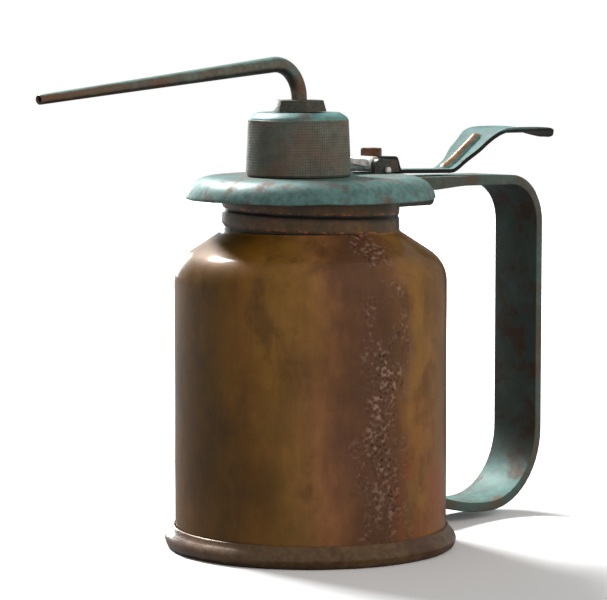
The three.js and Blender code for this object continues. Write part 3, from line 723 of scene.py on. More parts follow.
@dataclass(frozen=True)
class AgedCopper(Finish):
    """Browned copper sheet: colours that change round the can, partly its own and partly painted light
    and shade, tarnish streaks and a corroded run.
    """

    front_turn: float = -136.0
    wander: float = 56.0
    # Colours round the can, partly the sheet's own and partly painted light and shade: darker on the
    # left, lighter towards the front and the right.
    tones_and_painted_light: tuple[tuple[float, str], ...] = (
        (-180, "6c4a1c"), (-110, "6c4a1c"), (-79, "6b4a0f"), (-63, "68480a"), (-51, "6e4a08"),
        (-39, "7a5114"), (-27, "865f22"), (-15, "8c642c"), (0, "936738"), (12, "90613c"),
        (26, "69462f"), (42, "5d432a"), (54, "7a542b"), (68, "956c34"), (110, "7a5524"),
        (180, "6c4a1c"))
    tone_and_painted_light_share: float = 0.85
    run_middle: float = 32.0
    run_half: float = 17.0
    run_colour: str = "664636"
    pit_colour: str = "2b1c15"
    pale_pit: str = "ad8f7a"
    pit_scale: float = 860.0
    pit_height: float = 1.5
    streak: str = "4a3016"
    blotch: str = "4a3018"
    fox: str = "8a4428"
    fox_foot: float = 15 * MM
    fox_top: float = 55 * MM

    def around(self, tree: Tree, at: Socket) -> Socket:
        """Degrees round the can from the front, to the right; the seam is at the back."""
        angles = [math.radians(degrees) for degrees in (self.front_turn + 90, self.front_turn)]
        reach = [dot(tree, at, (math.cos(angle), math.sin(angle), 0)) for angle in angles]
        return times(tree, maths(tree, "ARCTAN2", *reach), 180 / math.pi)

    def tone_and_painted_light(self, tree: Tree, degrees: Socket) -> Socket:
        """The sheet's colour at a place round the can, with painted light and shade in it."""
        scale = put(tree, "ShaderNodeValToRGB", {0: ramp(tree, degrees, -180.0, 180.0)})
        stops = scale.color_ramp.elements
        while len(stops) < len(self.tones_and_painted_light):
            stops.new(0.5)
        for stop, (place, code) in zip(stops, self.tones_and_painted_light):
            stop.position = (place + 180) / 360
            stop.color = tint(code)
        return scale.outputs[0]

    def dress(self, tree: Tree, layers: Layers) -> Layers:
        """Adds the colours round the can with their painted light and shade, upright streaks, dark
        blotches, foxing and the corroded run.
        """
        at = layers["at"]
        cloud = self.cloud(tree, at, 30.0, 0.42, 0.66, 7.0, (1.0, 1.0, 0.6))
        turn = self.around(tree, at)
        place = maths(tree, "ADD", turn, either_way(tree, cloud.outputs["Field"], self.wander))
        # The colours round the can, with painted light and shade.
        colour = blend_colours(tree, self.tone_and_painted_light_share, layers["colour"], self.tone_and_painted_light(tree, place))
        swell = self.cloud(tree, at, 24.0, 0.4, 0.6, 6.0, (1.0, 1.0, 0.75))
        depth = ramp(tree, swell.outputs["Field"], 0.3, 0.7, 0.62, 1.38)
        colour = blend_colours(tree, 1.0, colour, grey(tree, depth), "MULTIPLY")
        streaks = self.cloud(tree, at, 300.0, 0.42, 0.7, 4.0, (1.0, 1.0, 0.12))
        colour = stain(tree, colour, streaks.outputs["Mask"], 0.2, self.streak)
        blotch = self.cloud(tree, at, 75.0, 0.5, 0.66, 8.0, (1.0, 1.0, 0.8))
        colour = stain(tree, colour, blotch.outputs["Mask"], 0.5, self.blotch)
        fox = self.cloud(tree, at, 52.0, 0.42, 0.62, 6.0, (1.0, 1.0, 0.7))
        low_down = ramp(tree, axis_of(tree, at, "Z"), self.fox_top, self.fox_foot, 0.12, 0.8)
        foxed = times(tree, times(tree, fox.outputs["Mask"], low_down),
                      ramp(tree, turn, 8.0, 50.0, 0.12, 1.0))
        off = maths(tree, "ABSOLUTE", maths(tree, "SUBTRACT", place, self.run_middle))
        band = ramp(tree, off, self.run_half + 6, self.run_half - 9)
        core = ramp(tree, off, self.run_half - 1, self.run_half - 11)
        cluster = self.cloud(tree, at, 110.0, 0.42, 0.6, 4.0, (1.0, 1.0, 0.6))
        pits = self.group(tree, "pits", Vector=at, Scale=self.pit_scale,
                          Amount=times(tree, core, cluster.outputs["Mask"]))
        dull = times(tree, band, ramp(tree, cluster.outputs["Field"], 0.3, 0.6, 0.25, 0.75))
        colour = blend_colours(tree, dull, colour, tint(self.run_colour))
        colour = stain(tree, colour, pits.outputs["Mask"], 0.9, self.pit_colour)
        colour = stain(tree, colour, pits.outputs["Ridge"], 0.55, self.pale_pit)
        colour = stain(tree, colour, foxed, 0.75, self.fox)
        rough = ramp(tree, band, 0.0, 1.0, layers["rough"], 0.6)
        height = maths(tree, "ADD", layers["height"],
                       times(tree, pits.outputs["Height"], self.pit_height))
        return {**layers, "colour": colour, "rough": rough, "height": height}


@dataclass(frozen=True)
class ThreadCopper(Finish):
    """The neck's copper, with painted shade that turns the thread's grooves black and painted
    highlights along their lower lips.
    """

    # Painted shade in the grooves and painted highlights on their lower lips.
    groove_shade: str = "120c08"
    lip_highlight: str = "b86a3c"

    def dress(self, tree: Tree, layers: Layers) -> Layers:
        """Follows the thread round the neck, painting shade down its grooves and highlights on their
        lower lips.
        """
        at = layers["at"]
        turn = maths(tree, "DIVIDE",
                     maths(tree, "ARCTAN2", axis_of(tree, at, "Y"), axis_of(tree, at, "X")), FULL_TURN)
        start = in_mm("can_body")[1].z - NECK_HEIGHT + THREAD_START
        level = maths(tree, "MULTIPLY_ADD", axis_of(tree, at, "Z"), 1 / (THREAD_PITCH * MM),
                      -start / THREAD_PITCH)
        cloud = self.cloud(tree, at, 260.0, 0.4, 0.6)
        ragged = either_way(tree, cloud.outputs["Field"], 0.1)
        part = maths(tree, "FRACT", maths(tree, "ADD", maths(tree, "ADD", turn, level), ragged))
        # Painted shade down the grooves.
        dark = maths(tree, "MAXIMUM", ramp(tree, part, 0.62, 0.95, 0.0, 0.92),
                     ramp(tree, part, 0.09, 0.04, 0.0, 0.9))
        spots = self.cloud(tree, at, 330.0, 0.5, 0.62, 3.0)
        # Painted highlights in spots along the lower lips.
        near_lip = times(tree, ramp(tree, part, 0.07, 0.11), ramp(tree, part, 0.24, 0.14))
        lip_highlight_mask = times(tree, times(tree, near_lip, spots.outputs["Mask"]), 0.75)
        colour = blend_colours(tree, dark, layers["colour"], tint(self.groove_shade))
        return {**layers, "colour": blend_colours(tree, lip_highlight_mask, colour, tint(self.lip_highlight))}


@dataclass(frozen=True)
class TealPatina(Finish):
    """Blue-green patina over steel, with rust coming through."""

    dust: str = "9db8b2"

    def dress(self, tree: Tree, layers: Layers) -> Layers:
        """Adds a pale bloom in the patina."""
        bloom = self.cloud(tree, layers["at"], 70.0, 0.5, 0.75, 6.0)
        colour = stain(tree, layers["colour"], bloom.outputs["Mask"], 0.35, self.dust)
        return {**layers, "colour": colour}


@dataclass(frozen=True)
class GripPatina(TealPatina):
    """The strap's patina, with painted shade on the side that the fingers hold, which looks back at
    the can.
    """

    # Colours of the painted shade, plain and with rust.
    inner: str = "35423d"
    inner_rust_in_shade: str = "3b2c23"
    flank: str = "4b4c43"

    def dress(self, tree: Tree, layers: Layers) -> Layers:
        """Darkens the flanks and paints shade on the faces that look back at the can."""
        layers = super().dress(tree, layers)
        way = skin_way(tree)
        cloud = self.cloud(tree, layers["at"], 60.0, 0.3, 0.7)
        # Painted shade on the faces that look back at the can and down, mottled with rust below.
        shaded_faces = times(tree, ramp(tree, dot(tree, way, (-1.0, 0.0, -0.55)), 0.35, 0.75),
                     ramp(tree, cloud.outputs["Field"], 0.2, 0.6, 0.75, 0.95))
        side = maths(tree, "ABSOLUTE", axis_of(tree, way, "Y"))
        colour = blend_colours(tree, ramp(tree, side, 0.6, 0.9, 0.0, 0.6), layers["colour"],
                               tint(self.flank))
        rusted = self.cloud(tree, layers["at"], 95.0, 0.5, 0.6, 7.0)
        shade = blend_colours(tree, rusted.outputs["Mask"], tint(self.inner), tint(self.inner_rust_in_shade))
        return {**layers, "colour": blend_colours(tree, shaded_faces, colour, shade)}


@dataclass(frozen=True)
class SpoutPatina(TealPatina):
    """The spout's brown steel: pale patina with painted light along the top, painted shade that turns
    it black below, rustier to the tip.
    """

    # Pale patina with painted light on top, and painted shade below.
    top: str = "7fa39f"
    below: str = "120e0b"
    rust: str = "6d4a32"
    rust_reach: float = 50 * MM

    def dress(self, tree: Tree, layers: Layers) -> Layers:
        """Paints light on the top and shade underneath by the way that the tube's skin faces, and adds
        rust by the run to the tip.
        """
        layers = super().dress(tree, layers)
        cloud = self.cloud(tree, layers["at"], 190.0, 0.3, 0.7)
        ragged = either_way(tree, cloud.outputs["Field"], 0.6)
        reach = times(tree, axis_of(tree, layers["at"], "X"), 1 / self.rust_reach)
        tip = ramp(tree, maths(tree, "ADD", reach, ragged), -0.9, -2.1, 0.0, 0.8)
        colour = blend_colours(tree, tip, layers["colour"], tint(self.rust))
        up = maths(tree, "ADD", axis_of(tree, skin_way(tree), "Z"), ragged)
        # Pale patina with painted light on the faces that look up.
        colour = blend_colours(tree, ramp(tree, up, 0.55, 0.95, 0.0, 0.75), colour, tint(self.top))
        # Painted shade on the faces that look down.
        colour = blend_colours(tree, ramp(tree, up, -0.15, -0.6, 0.0, 0.85), colour, tint(self.below))
        return {**layers, "colour": colour}


@dataclass(frozen=True)
class LeverPatina(TealPatina):
    """The lever's patina: pale above, with painted shade that makes it nearly black below and dark on
    its flanks.
    """

    # The colour of the painted shade.
    below: str = "231f1b"

    def dress(self, tree: Tree, layers: Layers) -> Layers:
        """Paints shade on the faces that look down or sideways."""
        layers = super().dress(tree, layers)
        cloud = self.cloud(tree, layers["at"], 120.0, 0.3, 0.7)
        up = maths(tree, "ADD", axis_of(tree, skin_way(tree), "Z"),
                   either_way(tree, cloud.outputs["Field"], 0.3))
        # Painted shade by how far each face looks down.
        dark = ramp(tree, up, 0.42, 0.12)
        return {**layers, "colour": blend_colours(tree, dark, layers["colour"], tint(self.below))}


COPPER = AgedCopper(
    "aged_copper", Slot.COPPER, base="7c5425", second="6e452c", smudge="55391f", grime_and_shade="2c1f14",
    edge="9a7648", metallic=0.15, roughness=0.46, coat=0.36, coat_rough=0.15, specular=0.2,
    patch_scale=26.0, smudge_scale=95.0, smudge_low=0.58, smudge_high=0.74, smudge_share=0.55,
    stretch=(1.0, 1.0, 0.55), edge_share=0.35, bump=0.3)
NECK_COPPER = ThreadCopper(
    "neck_copper", Slot.COPPER, base="594933", second="6b4c2c", smudge="454232", grime_and_shade="1b120b",
    edge="a9623a", metallic=0.2, roughness=0.42, coat=0.45, coat_rough=0.2, patch_scale=60.0,
    smudge_scale=130.0, smudge_low=0.5, smudge_share=0.7, edge_width=0.5 * MM)
BAND_COPPER = Finish(
    "band_copper", Slot.COPPER, base="6a5033", second="5b3f2c", smudge="4a3c2a", grime_and_shade="281e15",
    edge="8d7557", metallic=0.35, roughness=0.4, coat=0.5, coat_rough=0.22, patch_scale=40.0,
    smudge_scale=120.0, edge_share=0.45, bump=0.35)
TEAL = TealPatina(
    "teal_patina", Slot.TEAL, base="638580", second="52736f", smudge="6f4a3a", grime_and_shade="2b3431",
    edge="a08a80", metallic=0.2, roughness=0.5, rough_more=0.25, coat=0.15, coat_rough=0.35,
    patch_scale=55.0, smudge_scale=120.0, smudge_low=0.51, smudge_high=0.64, smudge_share=0.75,
    stretch=(1.0, 1.0, 0.6), edge_share=0.8)
LEVER_TEAL = LeverPatina(
    "lever_patina", Slot.TEAL, base="5f8682", second="577674", smudge="7a5238", grime_and_shade="2b2a26",
    edge="8c7a66", metallic=0.05, roughness=0.75, rough_more=0.15, coat=0.0, patch_scale=70.0,
    smudge_scale=140.0, smudge_low=0.58, smudge_high=0.66, smudge_share=0.6, edge_share=0.6,
    dust="7f9c99")
GRIP = GripPatina(
    "grip_patina", Slot.TEAL, base="527b75", second="575f57", smudge="6a4838", grime_and_shade="232a27",
    edge="76766c", metallic=0.1, roughness=0.68, coat=0.05, coat_rough=0.3, patch_scale=60.0,
    smudge_scale=85.0, smudge_low=0.46, smudge_high=0.6, smudge_share=0.75, edge_share=0.6)
HEAD_STEEL = Finish(
    "knurled_steel", Slot.DARK_STEEL, base="756d5f", second="64685e", smudge="6f5140",
    grime_and_shade="38312a", edge="97958b", metallic=0.2, roughness=0.5, patch_scale=60.0,
    smudge_scale=65.0, smudge_low=0.45, smudge_high=0.66, smudge_share=0.7,
    edge_width=0.3 * MM, edge_share=0.3, coat=0.2, coat_rough=0.35)
CHAMFER_TEAL = TealPatina(
    "head_top_patina", Slot.TEAL, base="659592", second="547673", smudge="5f4c40", grime_and_shade="2b3431",
    edge="93b0ab", metallic=0.2, roughness=0.5, coat=0.15, patch_scale=90.0, smudge_scale=120.0,
    smudge_low=0.52, smudge_high=0.62, smudge_share=0.8)
NUT_STEEL = Finish(
    "nut_steel", Slot.DARK_STEEL, base="5c4d3d", second="4d5146", smudge="82602f", grime_and_shade="1f1b17",
    edge="84847a", metallic=0.4, roughness=0.45, patch_scale=140.0, smudge_scale=240.0,
    smudge_low=0.6, smudge_high=0.68, edge_share=0.5)
SPOUT_STEEL = SpoutPatina(
    "spout_steel", Slot.DARK_STEEL, base="6a5f50", second="5f6b62", smudge="6b4635", grime_and_shade="241d18",
    edge="96867a", metallic=0.25, roughness=0.5, coat=0.2, patch_scale=75.0, smudge_scale=110.0,
    smudge_low=0.5, smudge_high=0.66, smudge_share=0.7, stretch=(0.5, 1.0, 1.0), edge_share=0.7,
    dust="748a83")
DARK_STEEL = Finish(
    "dark_steel", Slot.DARK_STEEL, base="46423c", second="50504a", smudge="5a4034", grime_and_shade="1d1916",
    edge="7e8480", metallic=0.55, roughness=0.48, patch_scale=120.0, smudge_scale=190.0,
    edge_share=0.6)
WORN_STEEL = Finish(
    "worn_steel", Slot.STEEL, base="e2e2de", second="c4c2be", smudge="9a8a7e", grime_and_shade="5a544f",
    edge="eceae4", metallic=0.08, roughness=0.4, patch_scale=120.0, smudge_scale=200.0,
    smudge_low=0.52, smudge_high=0.62, smudge_share=0.6, stretch=(1.0, 0.5, 1.0))
PIN_STEEL = Finish(
    "pin_steel", Slot.STEEL, base="4a433c", second="5a534c", smudge="5a4034", grime_and_shade="1d1916",
    edge="8a8680", metallic=0.4, roughness=0.45, patch_scale=160.0, smudge_scale=260.0)
# Its near-white edge colour is partly rubbed wear and partly a painted highlight.
RIB_COPPER = Finish(
    "rubbed_rib", Slot.TEAL, base="8f6a4a", second="b39474", smudge="7a5236", grime_and_shade="4a3526",
    edge="e8dccb", metallic=0.3, roughness=0.34, coat=0.5, coat_rough=0.2, patch_scale=120.0,
    smudge_scale=180.0, smudge_low=0.5, smudge_high=0.65, smudge_share=0.6, edge_share=0.5)
RUSTY_STEEL = Finish(
    "rusty_screw", Slot.RUST, base="5e3d29", second="704a2e", smudge="3d2a1f", grime_and_shade="20150f",
    edge="b3a48c", metallic=0.45, roughness=0.5, patch_scale=240.0, smudge_scale=420.0,
    edge_width=0.5 * MM, edge_share=0.8, bump=0.4)
DULL_BRASS = Finish(
    "dull_brass", Slot.BRASS, base="9a7c45", second="856636", smudge="5d4a2c", grime_and_shade="33281a",
    edge="c2a868", metallic=0.85, roughness=0.35, patch_scale=120.0, smudge_scale=260.0)
INNER_STEEL = Finish(
    "oiled_steel", Slot.STEEL, base="84827d", second="6d6a66", smudge="5c4a3e", grime_and_shade="2d2925",
    edge="b4b2ac", metallic=0.85, roughness=0.3, patch_scale=150.0, smudge_scale=300.0)
OILED_LEATHER = Finish(
    "oiled_leather", Slot.LEATHER, base="4a2f1e", second="3a2416", smudge="2a1a10",
    grime_and_shade="180f09", edge="6b4a33", metallic=0.0, roughness=0.6, patch_scale=200.0,
    smudge_scale=500.0, bump=0.6)
RUBBER = Finish(
    "old_rubber", Slot.RUBBER, base="25231f", second="2e2b27", smudge="3a352e", grime_and_shade="141210",
    edge="45413b", metallic=0.0, roughness=0.75, patch_scale=180.0, smudge_scale=500.0, bump=0.5)

MATERIALS: dict[str, bpy.types.Material] = {}


def paint(finish: Finish) -> bpy.types.Material:
    """The finish's material, built the first time that it is wanted."""
    if finish.name not in MATERIALS:
        MATERIALS[finish.name] = finish.material()
    return MATERIALS[finish.name]


def hand_over(piece: Piece, body: Body, finish: Finish, *nodes: str) -> Piece:
    """Dresses a finished piece, puts it on its body and hides the nodes that it stands for.

    Args:
        piece: The piece.
        body: What it rides on.
        finish: Its main finish, put on the piece when it has no material.
        *nodes: The CAD nodes that it replaces.
    Returns:
        The piece.
    """
    if not piece.data.materials:
        piece.data.materials.append(paint(finish))
    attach(piece, body.value)
    if nodes:
        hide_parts(*nodes)
    mesh = bmesh.new()
    mesh.from_mesh(piece.data)
    open_edges = sum(1 for edge in mesh.edges if not edge.is_manifold)
    mesh.free()
    low, high = (Vector(piece.bound_box[0]) / MM, Vector(piece.bound_box[6]) / MM)
    log.info("%s: %d faces, %d open edges, %s to %s mm", piece.name, len(piece.data.polygons),
             open_edges, [round(v, 1) for v in low], [round(v, 1) for v in high])
    return piece


def in_mm(node: str) -> tuple[Vector, Vector]:
    """A CAD node's lowest and highest corners in millimetres."""
    low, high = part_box(node)
    return low / MM, high / MM


def middle_mm(node: str) -> Vector:
    """The middle of a CAD node's box in millimetres."""
    low, high = in_mm(node)
    return (low + high) / 2


# ---------------------------------------------------------------- can


@dataclass
class Can:
    """The round can: wall, shoulder and threaded neck in one sheet, its foot band and its base."""

    wall: float = 0.8
    shoulder_radius: float = 11.3
    shoulder_slope: float = 33.0
    neck_radius: float = 27.3
    thread_height: float = 0.38
    ticks: int = 104
    sides: int = 416
    foot: float = field(init=False)
    radius: float = field(init=False)
    top: float = field(init=False)

    def __post_init__(self) -> None:
        """Takes the can's place from its CAD node."""
        low, high = in_mm("can_body")
        self.foot, self.top = low.z, high.z
        self.radius = high.x

    def shoulder(self, inset: float) -> Profile:
        """The shoulder's outline from the wall to the neck's foot, moved inward."""
        slope = math.radians(self.shoulder_slope)
        neck_foot = self.top - NECK_HEIGHT
        corner_r = self.radius - self.shoulder_radius
        flat_r = corner_r + self.shoulder_radius * math.sin(slope)
        rise_z = (flat_r - self.neck_radius) * math.tan(slope)
        corner_z = neck_foot - rise_z - self.shoulder_radius * math.cos(slope)
        bend = arc(corner_r, corner_z, self.shoulder_radius - inset, 0, 90 - self.shoulder_slope, 14)
        end = bend[-1]
        stop = self.neck_radius + 1.0 - inset
        run = [(end[0] + (stop - end[0]) * i / 6, end[1] + (end[0] - stop) * math.tan(slope) * i / 6)
               for i in range(1, 7)]
        fillet_end = (self.neck_radius - inset, neck_foot + 0.7)
        return [*bend, *run, *curve(run[-1], (fillet_end[0], run[-1][1] + 0.6), fillet_end, 4)[1:]]

    def shell_profile(self) -> Profile:
        """The outside up, over the lip, and the inside down."""
        outer = self.shoulder(0)
        inner = self.shoulder(self.wall)
        walls = [(self.radius, z) for z in rise(self.foot, outer[0][1], 10)[:-1]]
        inside = [(self.radius - self.wall, z) for z in rise(self.foot, inner[0][1], 3)[:-1]]
        neck = [(self.neck_radius, z) for z in rise(outer[-1][1], self.top - 0.3, 38)[1:]]
        lip = arc(self.neck_radius - self.wall / 2, self.top - 0.4, self.wall / 2, 20, 160, 4)
        bore = [(self.neck_radius - self.wall, z) for z in rise(inner[-1][1], self.top - 0.3, 24)[1:]]
        return [*walls, *outer, *neck, *lip, *bore[::-1], *inner[::-1], *inside[::-1]]

    def thread(self, at: Vector) -> Vector:
        """Rolls the thread into the neck, with a notched lower edge, and beats the wall softly."""
        x, y, z = at / MM
        turn = math.atan2(y, x)
        neck_foot = self.top - NECK_HEIGHT
        here = math.hypot(x, y)
        push = 0.0
        if z > neck_foot - 0.6:
            fade = ease((z - neck_foot + 0.3) / 0.6) * ease((self.top - 1.2 - z) / 1.4)
            lead = (z - neck_foot - THREAD_START) / THREAD_PITCH + turn / FULL_TURN
            part = lead - math.floor(lead)
            crest = ease((part - 0.05) / 0.07) * (1 - ease((part - 0.83) / 0.17))
            lower = ease((part - 0.03) / 0.05) * (1 - ease((part - 0.14) / 0.1))
            notch = lower * (0.5 + 0.5 * math.cos(self.ticks * turn))
            swell = 0.08 * math.sin(math.pi * min(max((part - 0.1) / 0.65, 0.0), 1.0))
            push = (crest * self.thread_height - self.thread_height - 0.2 * notch + swell) * fade
        else:
            waver = noise.noise(Vector((x, y, z * 0.8)) / 17.0) + 0.5 * noise.noise(at / MM / 6.0)
            push = 0.13 * waver * ease((z - self.foot) / 4)
        grow = (here + push) / here
        return Vector((x * grow, y * grow, z)) * MM

    def build_shell(self) -> None:
        """Spins the sheet and rolls its thread."""
        shell = turn_piece("can_shell", self.shell_profile(), self.sides)
        press(shell, self.thread)
        smooth(shell, 50)
        shell.data.materials.append(paint(COPPER))
        shell.data.materials.append(paint(NECK_COPPER))
        neck_foot = (self.top - NECK_HEIGHT + 0.2) * MM
        for face in shell.data.polygons:
            face.material_index = int(face.center.z > neck_foot)
        hand_over(shell, Body.CAN, COPPER, "can_body")

    def build_band(self) -> None:
        """Turns the rolled band round the can's foot, a little knocked about."""
        low, high = in_mm("base_band")
        outer, inner = high.x, self.radius + 0.3
        profile = [
            (inner, low.z),
            *curve((outer - 2.2, low.z), (outer - 0.6, low.z + 0.1), (outer - 0.2, 1.8), 6),
            *curve((outer, 2.5), (outer + 0.05, 3.4), (outer - 0.7, 4.3), 5),
            *curve((outer - 1.2, 4.9), (inner + 0.9, high.z - 1.2), (inner + 0.45, high.z - 0.1), 8),
            (inner, high.z)]
        band = turn_piece("foot_band", profile, 224)

        def knock(at: Vector) -> Vector:
            """Small dents in the band's outer side."""
            here = math.hypot(at.x, at.y)
            depth = ease((here / MM - inner - 0.6) / 1.5)
            dent = noise.noise(at / MM / 9.0) * 0.28 + noise.noise(at / MM / 3.2) * 0.1 - 0.12
            grow = (here + min(dent, 0.0) * depth * MM) / here
            return Vector((at.x * grow, at.y * grow, at.z))

        press(band, knock)
        smooth(band, 60)
        hand_over(band, Body.CAN, BAND_COPPER, "base_band")

    def build_base(self) -> None:
        """Turns the base with its pressed rings."""
        low, high = in_mm("base_disc")
        edge = self.radius
        rings = [(0, 0.45), (9, 0.45), (10, 0.15), (12, 0.15), (13, 0.45), (edge - 9, 0.45),
                 (edge - 7, 0.0), (edge - 0.5, 0.0), (edge, 0.35)]
        lower = [(r, low.z + z) for r, z in rings]
        upper = [(edge, high.z - 0.2), (edge - 0.3, high.z), (0, high.z)]
        base = turn_piece("base_plate", [*lower, *upper], 160)
        smooth(base)
        hand_over(base, Body.CAN, BAND_COPPER, "base_disc")

    def build(self) -> None:
        """Builds the can's three pieces."""
        self.build_shell()
        self.build_band()
        self.build_base()


# ---------------------------------------------------------------- screw cap


@dataclass
class ScrewCap:
    """The domed cap that screws on the neck, with its collar below."""

    sheet: float = 1.2
    flat_sheet: float = 0.7
    flat_radius: float = 31.2
    dome_lean: float = 2.9
    strap_half: float = 9.3
    strap_room: float = 0.3
    notch_start: float = 29.2
    bore: float = 10.3

    def rim_shape(self, at: Vector) -> Vector:
        """Dents and waves in the rim, growing with distance from the flat top."""
        x, y, z = at / MM
        here = math.hypot(x, y)
        share = ease((here - self.flat_radius) / 8.5)
        if share <= 0 or here < 1:
            return at
        turn = Vector((x, y, 0)) / here
        calm = 1 - 0.8 * ease(1 - abs(y) / 13) * (x > 0)
        wave = noise.noise(turn * 3.1) + 0.6 * noise.noise(turn * 8.3 + Vector((3, 1, 7)))
        dent = noise.noise(turn * 5.2 + Vector((9, 4, z * 0.12)))
        lift = 0.24 * wave * share * calm
        push = -0.22 * max(dent, 0) * share * calm
        grow = (here + push) / here
        return Vector((x * grow, y * grow, z + max(lift, -0.45))) * MM

    def build(self) -> None:
        """Spins the dome, dents its rim, cuts the pump's bore and the strap's notch."""
        low, high = in_mm("flange_cap")
        edge, rim, top = -low.x, low.z, high.z - CAP_SINK
        lean = edge - self.dome_lean
        dome = curve((self.flat_radius - 1.5, top), (lean + 0.95, top + 0.1), (edge, rim + 0.5), 20)
        lip = arc(edge - 0.55, rim + 0.45, 0.55, 0, -170, 6)[1:]
        under = curve((edge - self.sheet - 0.1, rim + 0.9), (lean - 0.5, top - self.sheet - 0.9),
                      (self.flat_radius - 2.0, top - self.flat_sheet), 14)
        flat = [(r, top) for r in (0, 8, 16, 22, 26)]
        flat_under = [(r, top - self.flat_sheet) for r in (12, 0)]
        cap = turn_piece("cap_flange", [*flat, *dome, *lip, *under, *flat_under], 288)
        press(cap, self.rim_shape)
        pump = middle_mm("knurled_head").x
        carve(cap, start_rod("tool", Vector((pump, 0, top)) * MM, 20 * MM, self.bore * MM, 96))
        strap_top = in_mm("strap_handle")[1].z
        carve(cap, start_box("tool", Vector((self.notch_start, -self.strap_half, rim - 3)) * MM,
                             Vector((edge + 3, self.strap_half, strap_top + self.strap_room)) * MM))
        smooth(cap, 40)
        hand_over(cap, Body.CAP, TEAL, "flange_cap")
        self.build_collar()

    def build_collar(self) -> None:
        """Turns the collar with a rolled lower edge."""
        low, high = in_mm("cap_collar")
        outer, inner = high.x, high.x - 1.3
        profile = [(inner, low.z + 0.4), *arc(outer - 0.5, low.z + 0.5, 0.5, 250, 360, 5),
                   (outer, high.z - 0.3), (outer - 0.3, high.z), (inner, high.z)]
        collar = turn_piece("cap_collar_ring", profile, 160)
        smooth(collar)
        hand_over(collar, Body.CAP, DARK_STEEL, "cap_collar")


# ---------------------------------------------------------------- strap handle


@dataclass
class StrapHandle:
    """The flat strap bent into a handle, and the bracket that stiffens its root."""

    thickness: float = 3.1
    fall: float = 1.1
    top_radius: float = 16.0
    low_radius: float = 25.0
    curl_radius: float = 77.0
    end_from_root: float = 17.5
    end_round: float = 5.0
    plate: float = 1.6
    root_more: float = 1.1
    root_end: float = 64.0
    root_run: float = 18.0
    bracket_turn: float = 1.1

    def build(self) -> None:
        """Builds the strap, then its bracket."""
        self.build_strap()
        self.build_bracket()

    def build_strap(self) -> None:
        """Draws the strap's section out, round the corner, down, and back to the can."""
        low, high = in_mm("strap_handle")
        half = self.thickness / 2
        corner_x = high.x - self.top_radius
        tilt = math.degrees(math.atan2(self.fall, corner_x - low.x))
        root = Vector((low.x, 0, high.z - half)) * MM
        strip = start_strip("strap", root, -tilt, (high.y - low.y) * MM, self.thickness * MM)
        strip.run(math.hypot(corner_x - low.x, self.fall) * MM, 12)
        strip.bend((self.top_radius - half) * MM, -(90 - tilt), 14)
        strip.run((strip.place.z / MM - low.z - self.low_radius) * MM, 12)
        strip.bend((self.low_radius - half) * MM, -90, 14)
        low_x = high.x - self.low_radius
        curl = math.degrees(math.asin((low_x - low.x - self.end_from_root) / self.curl_radius))
        strip.bend((self.curl_radius - half) * MM, -curl, 8)
        close_skin(strip.piece)
        strap = strip.piece
        end_x = strip.place.x
        with editing(strap, "EDGE"):
            pick_edges(strap, lambda at, way: at.z < 30 * MM and abs(way.z) > 0.5
                       and abs(at.y) > (high.y - 0.1) * MM and abs(at.x - end_x) < 1.2 * MM)
            bpy.ops.mesh.bevel(offset=self.end_round * MM, segments=8, affect="EDGES")
        soften(strap, 0.55 * MM, 3, 40)
        underside = (high.z - half - 0.6) * MM

        def root_depth(at: Vector) -> Vector:
            """Thickens the root below, where the strap comes off the cap."""
            below = underside - 6 * MM < at.z < underside
            deep = self.root_more * ease((self.root_end - at.x / MM) / self.root_run) * below
            return Vector((at.x, at.y, at.z - deep * MM))

        press(strap, root_depth)
        smooth(strap)
        hand_over(strap, Body.CAP, GRIP, "strap_handle")

    def build_bracket(self) -> None:
        """Bends the bracket's plate up at both ends."""
        low, high = in_mm("handle_bracket")
        half, turn = self.plate / 2, self.bracket_turn
        inner_top = high.z - self.root_more
        outer_top = inner_top - self.fall
        start = Vector((low.x + half, 0, inner_top)) * MM
        strip = start_strip("handle_bracket_plate", start, -90, (high.y - low.y) * MM, self.plate * MM)
        strip.run((inner_top - low.z - half - turn) * MM, 2)
        strip.bend(turn * MM, 90, 5)
        strip.run((high.x - low.x - self.plate - 2 * turn) * MM, 6)
        strip.bend(turn * MM, 90, 5)
        strip.run((outer_top - low.z - half - turn) * MM, 3)
        close_skin(strip.piece)
        soften(strip.piece, 0.3 * MM, 2, 40)
        smooth(strip.piece)
        hand_over(strip.piece, Body.CAP, DARK_STEEL, "handle_bracket")


# ---------------------------------------------------------------- lever hinge


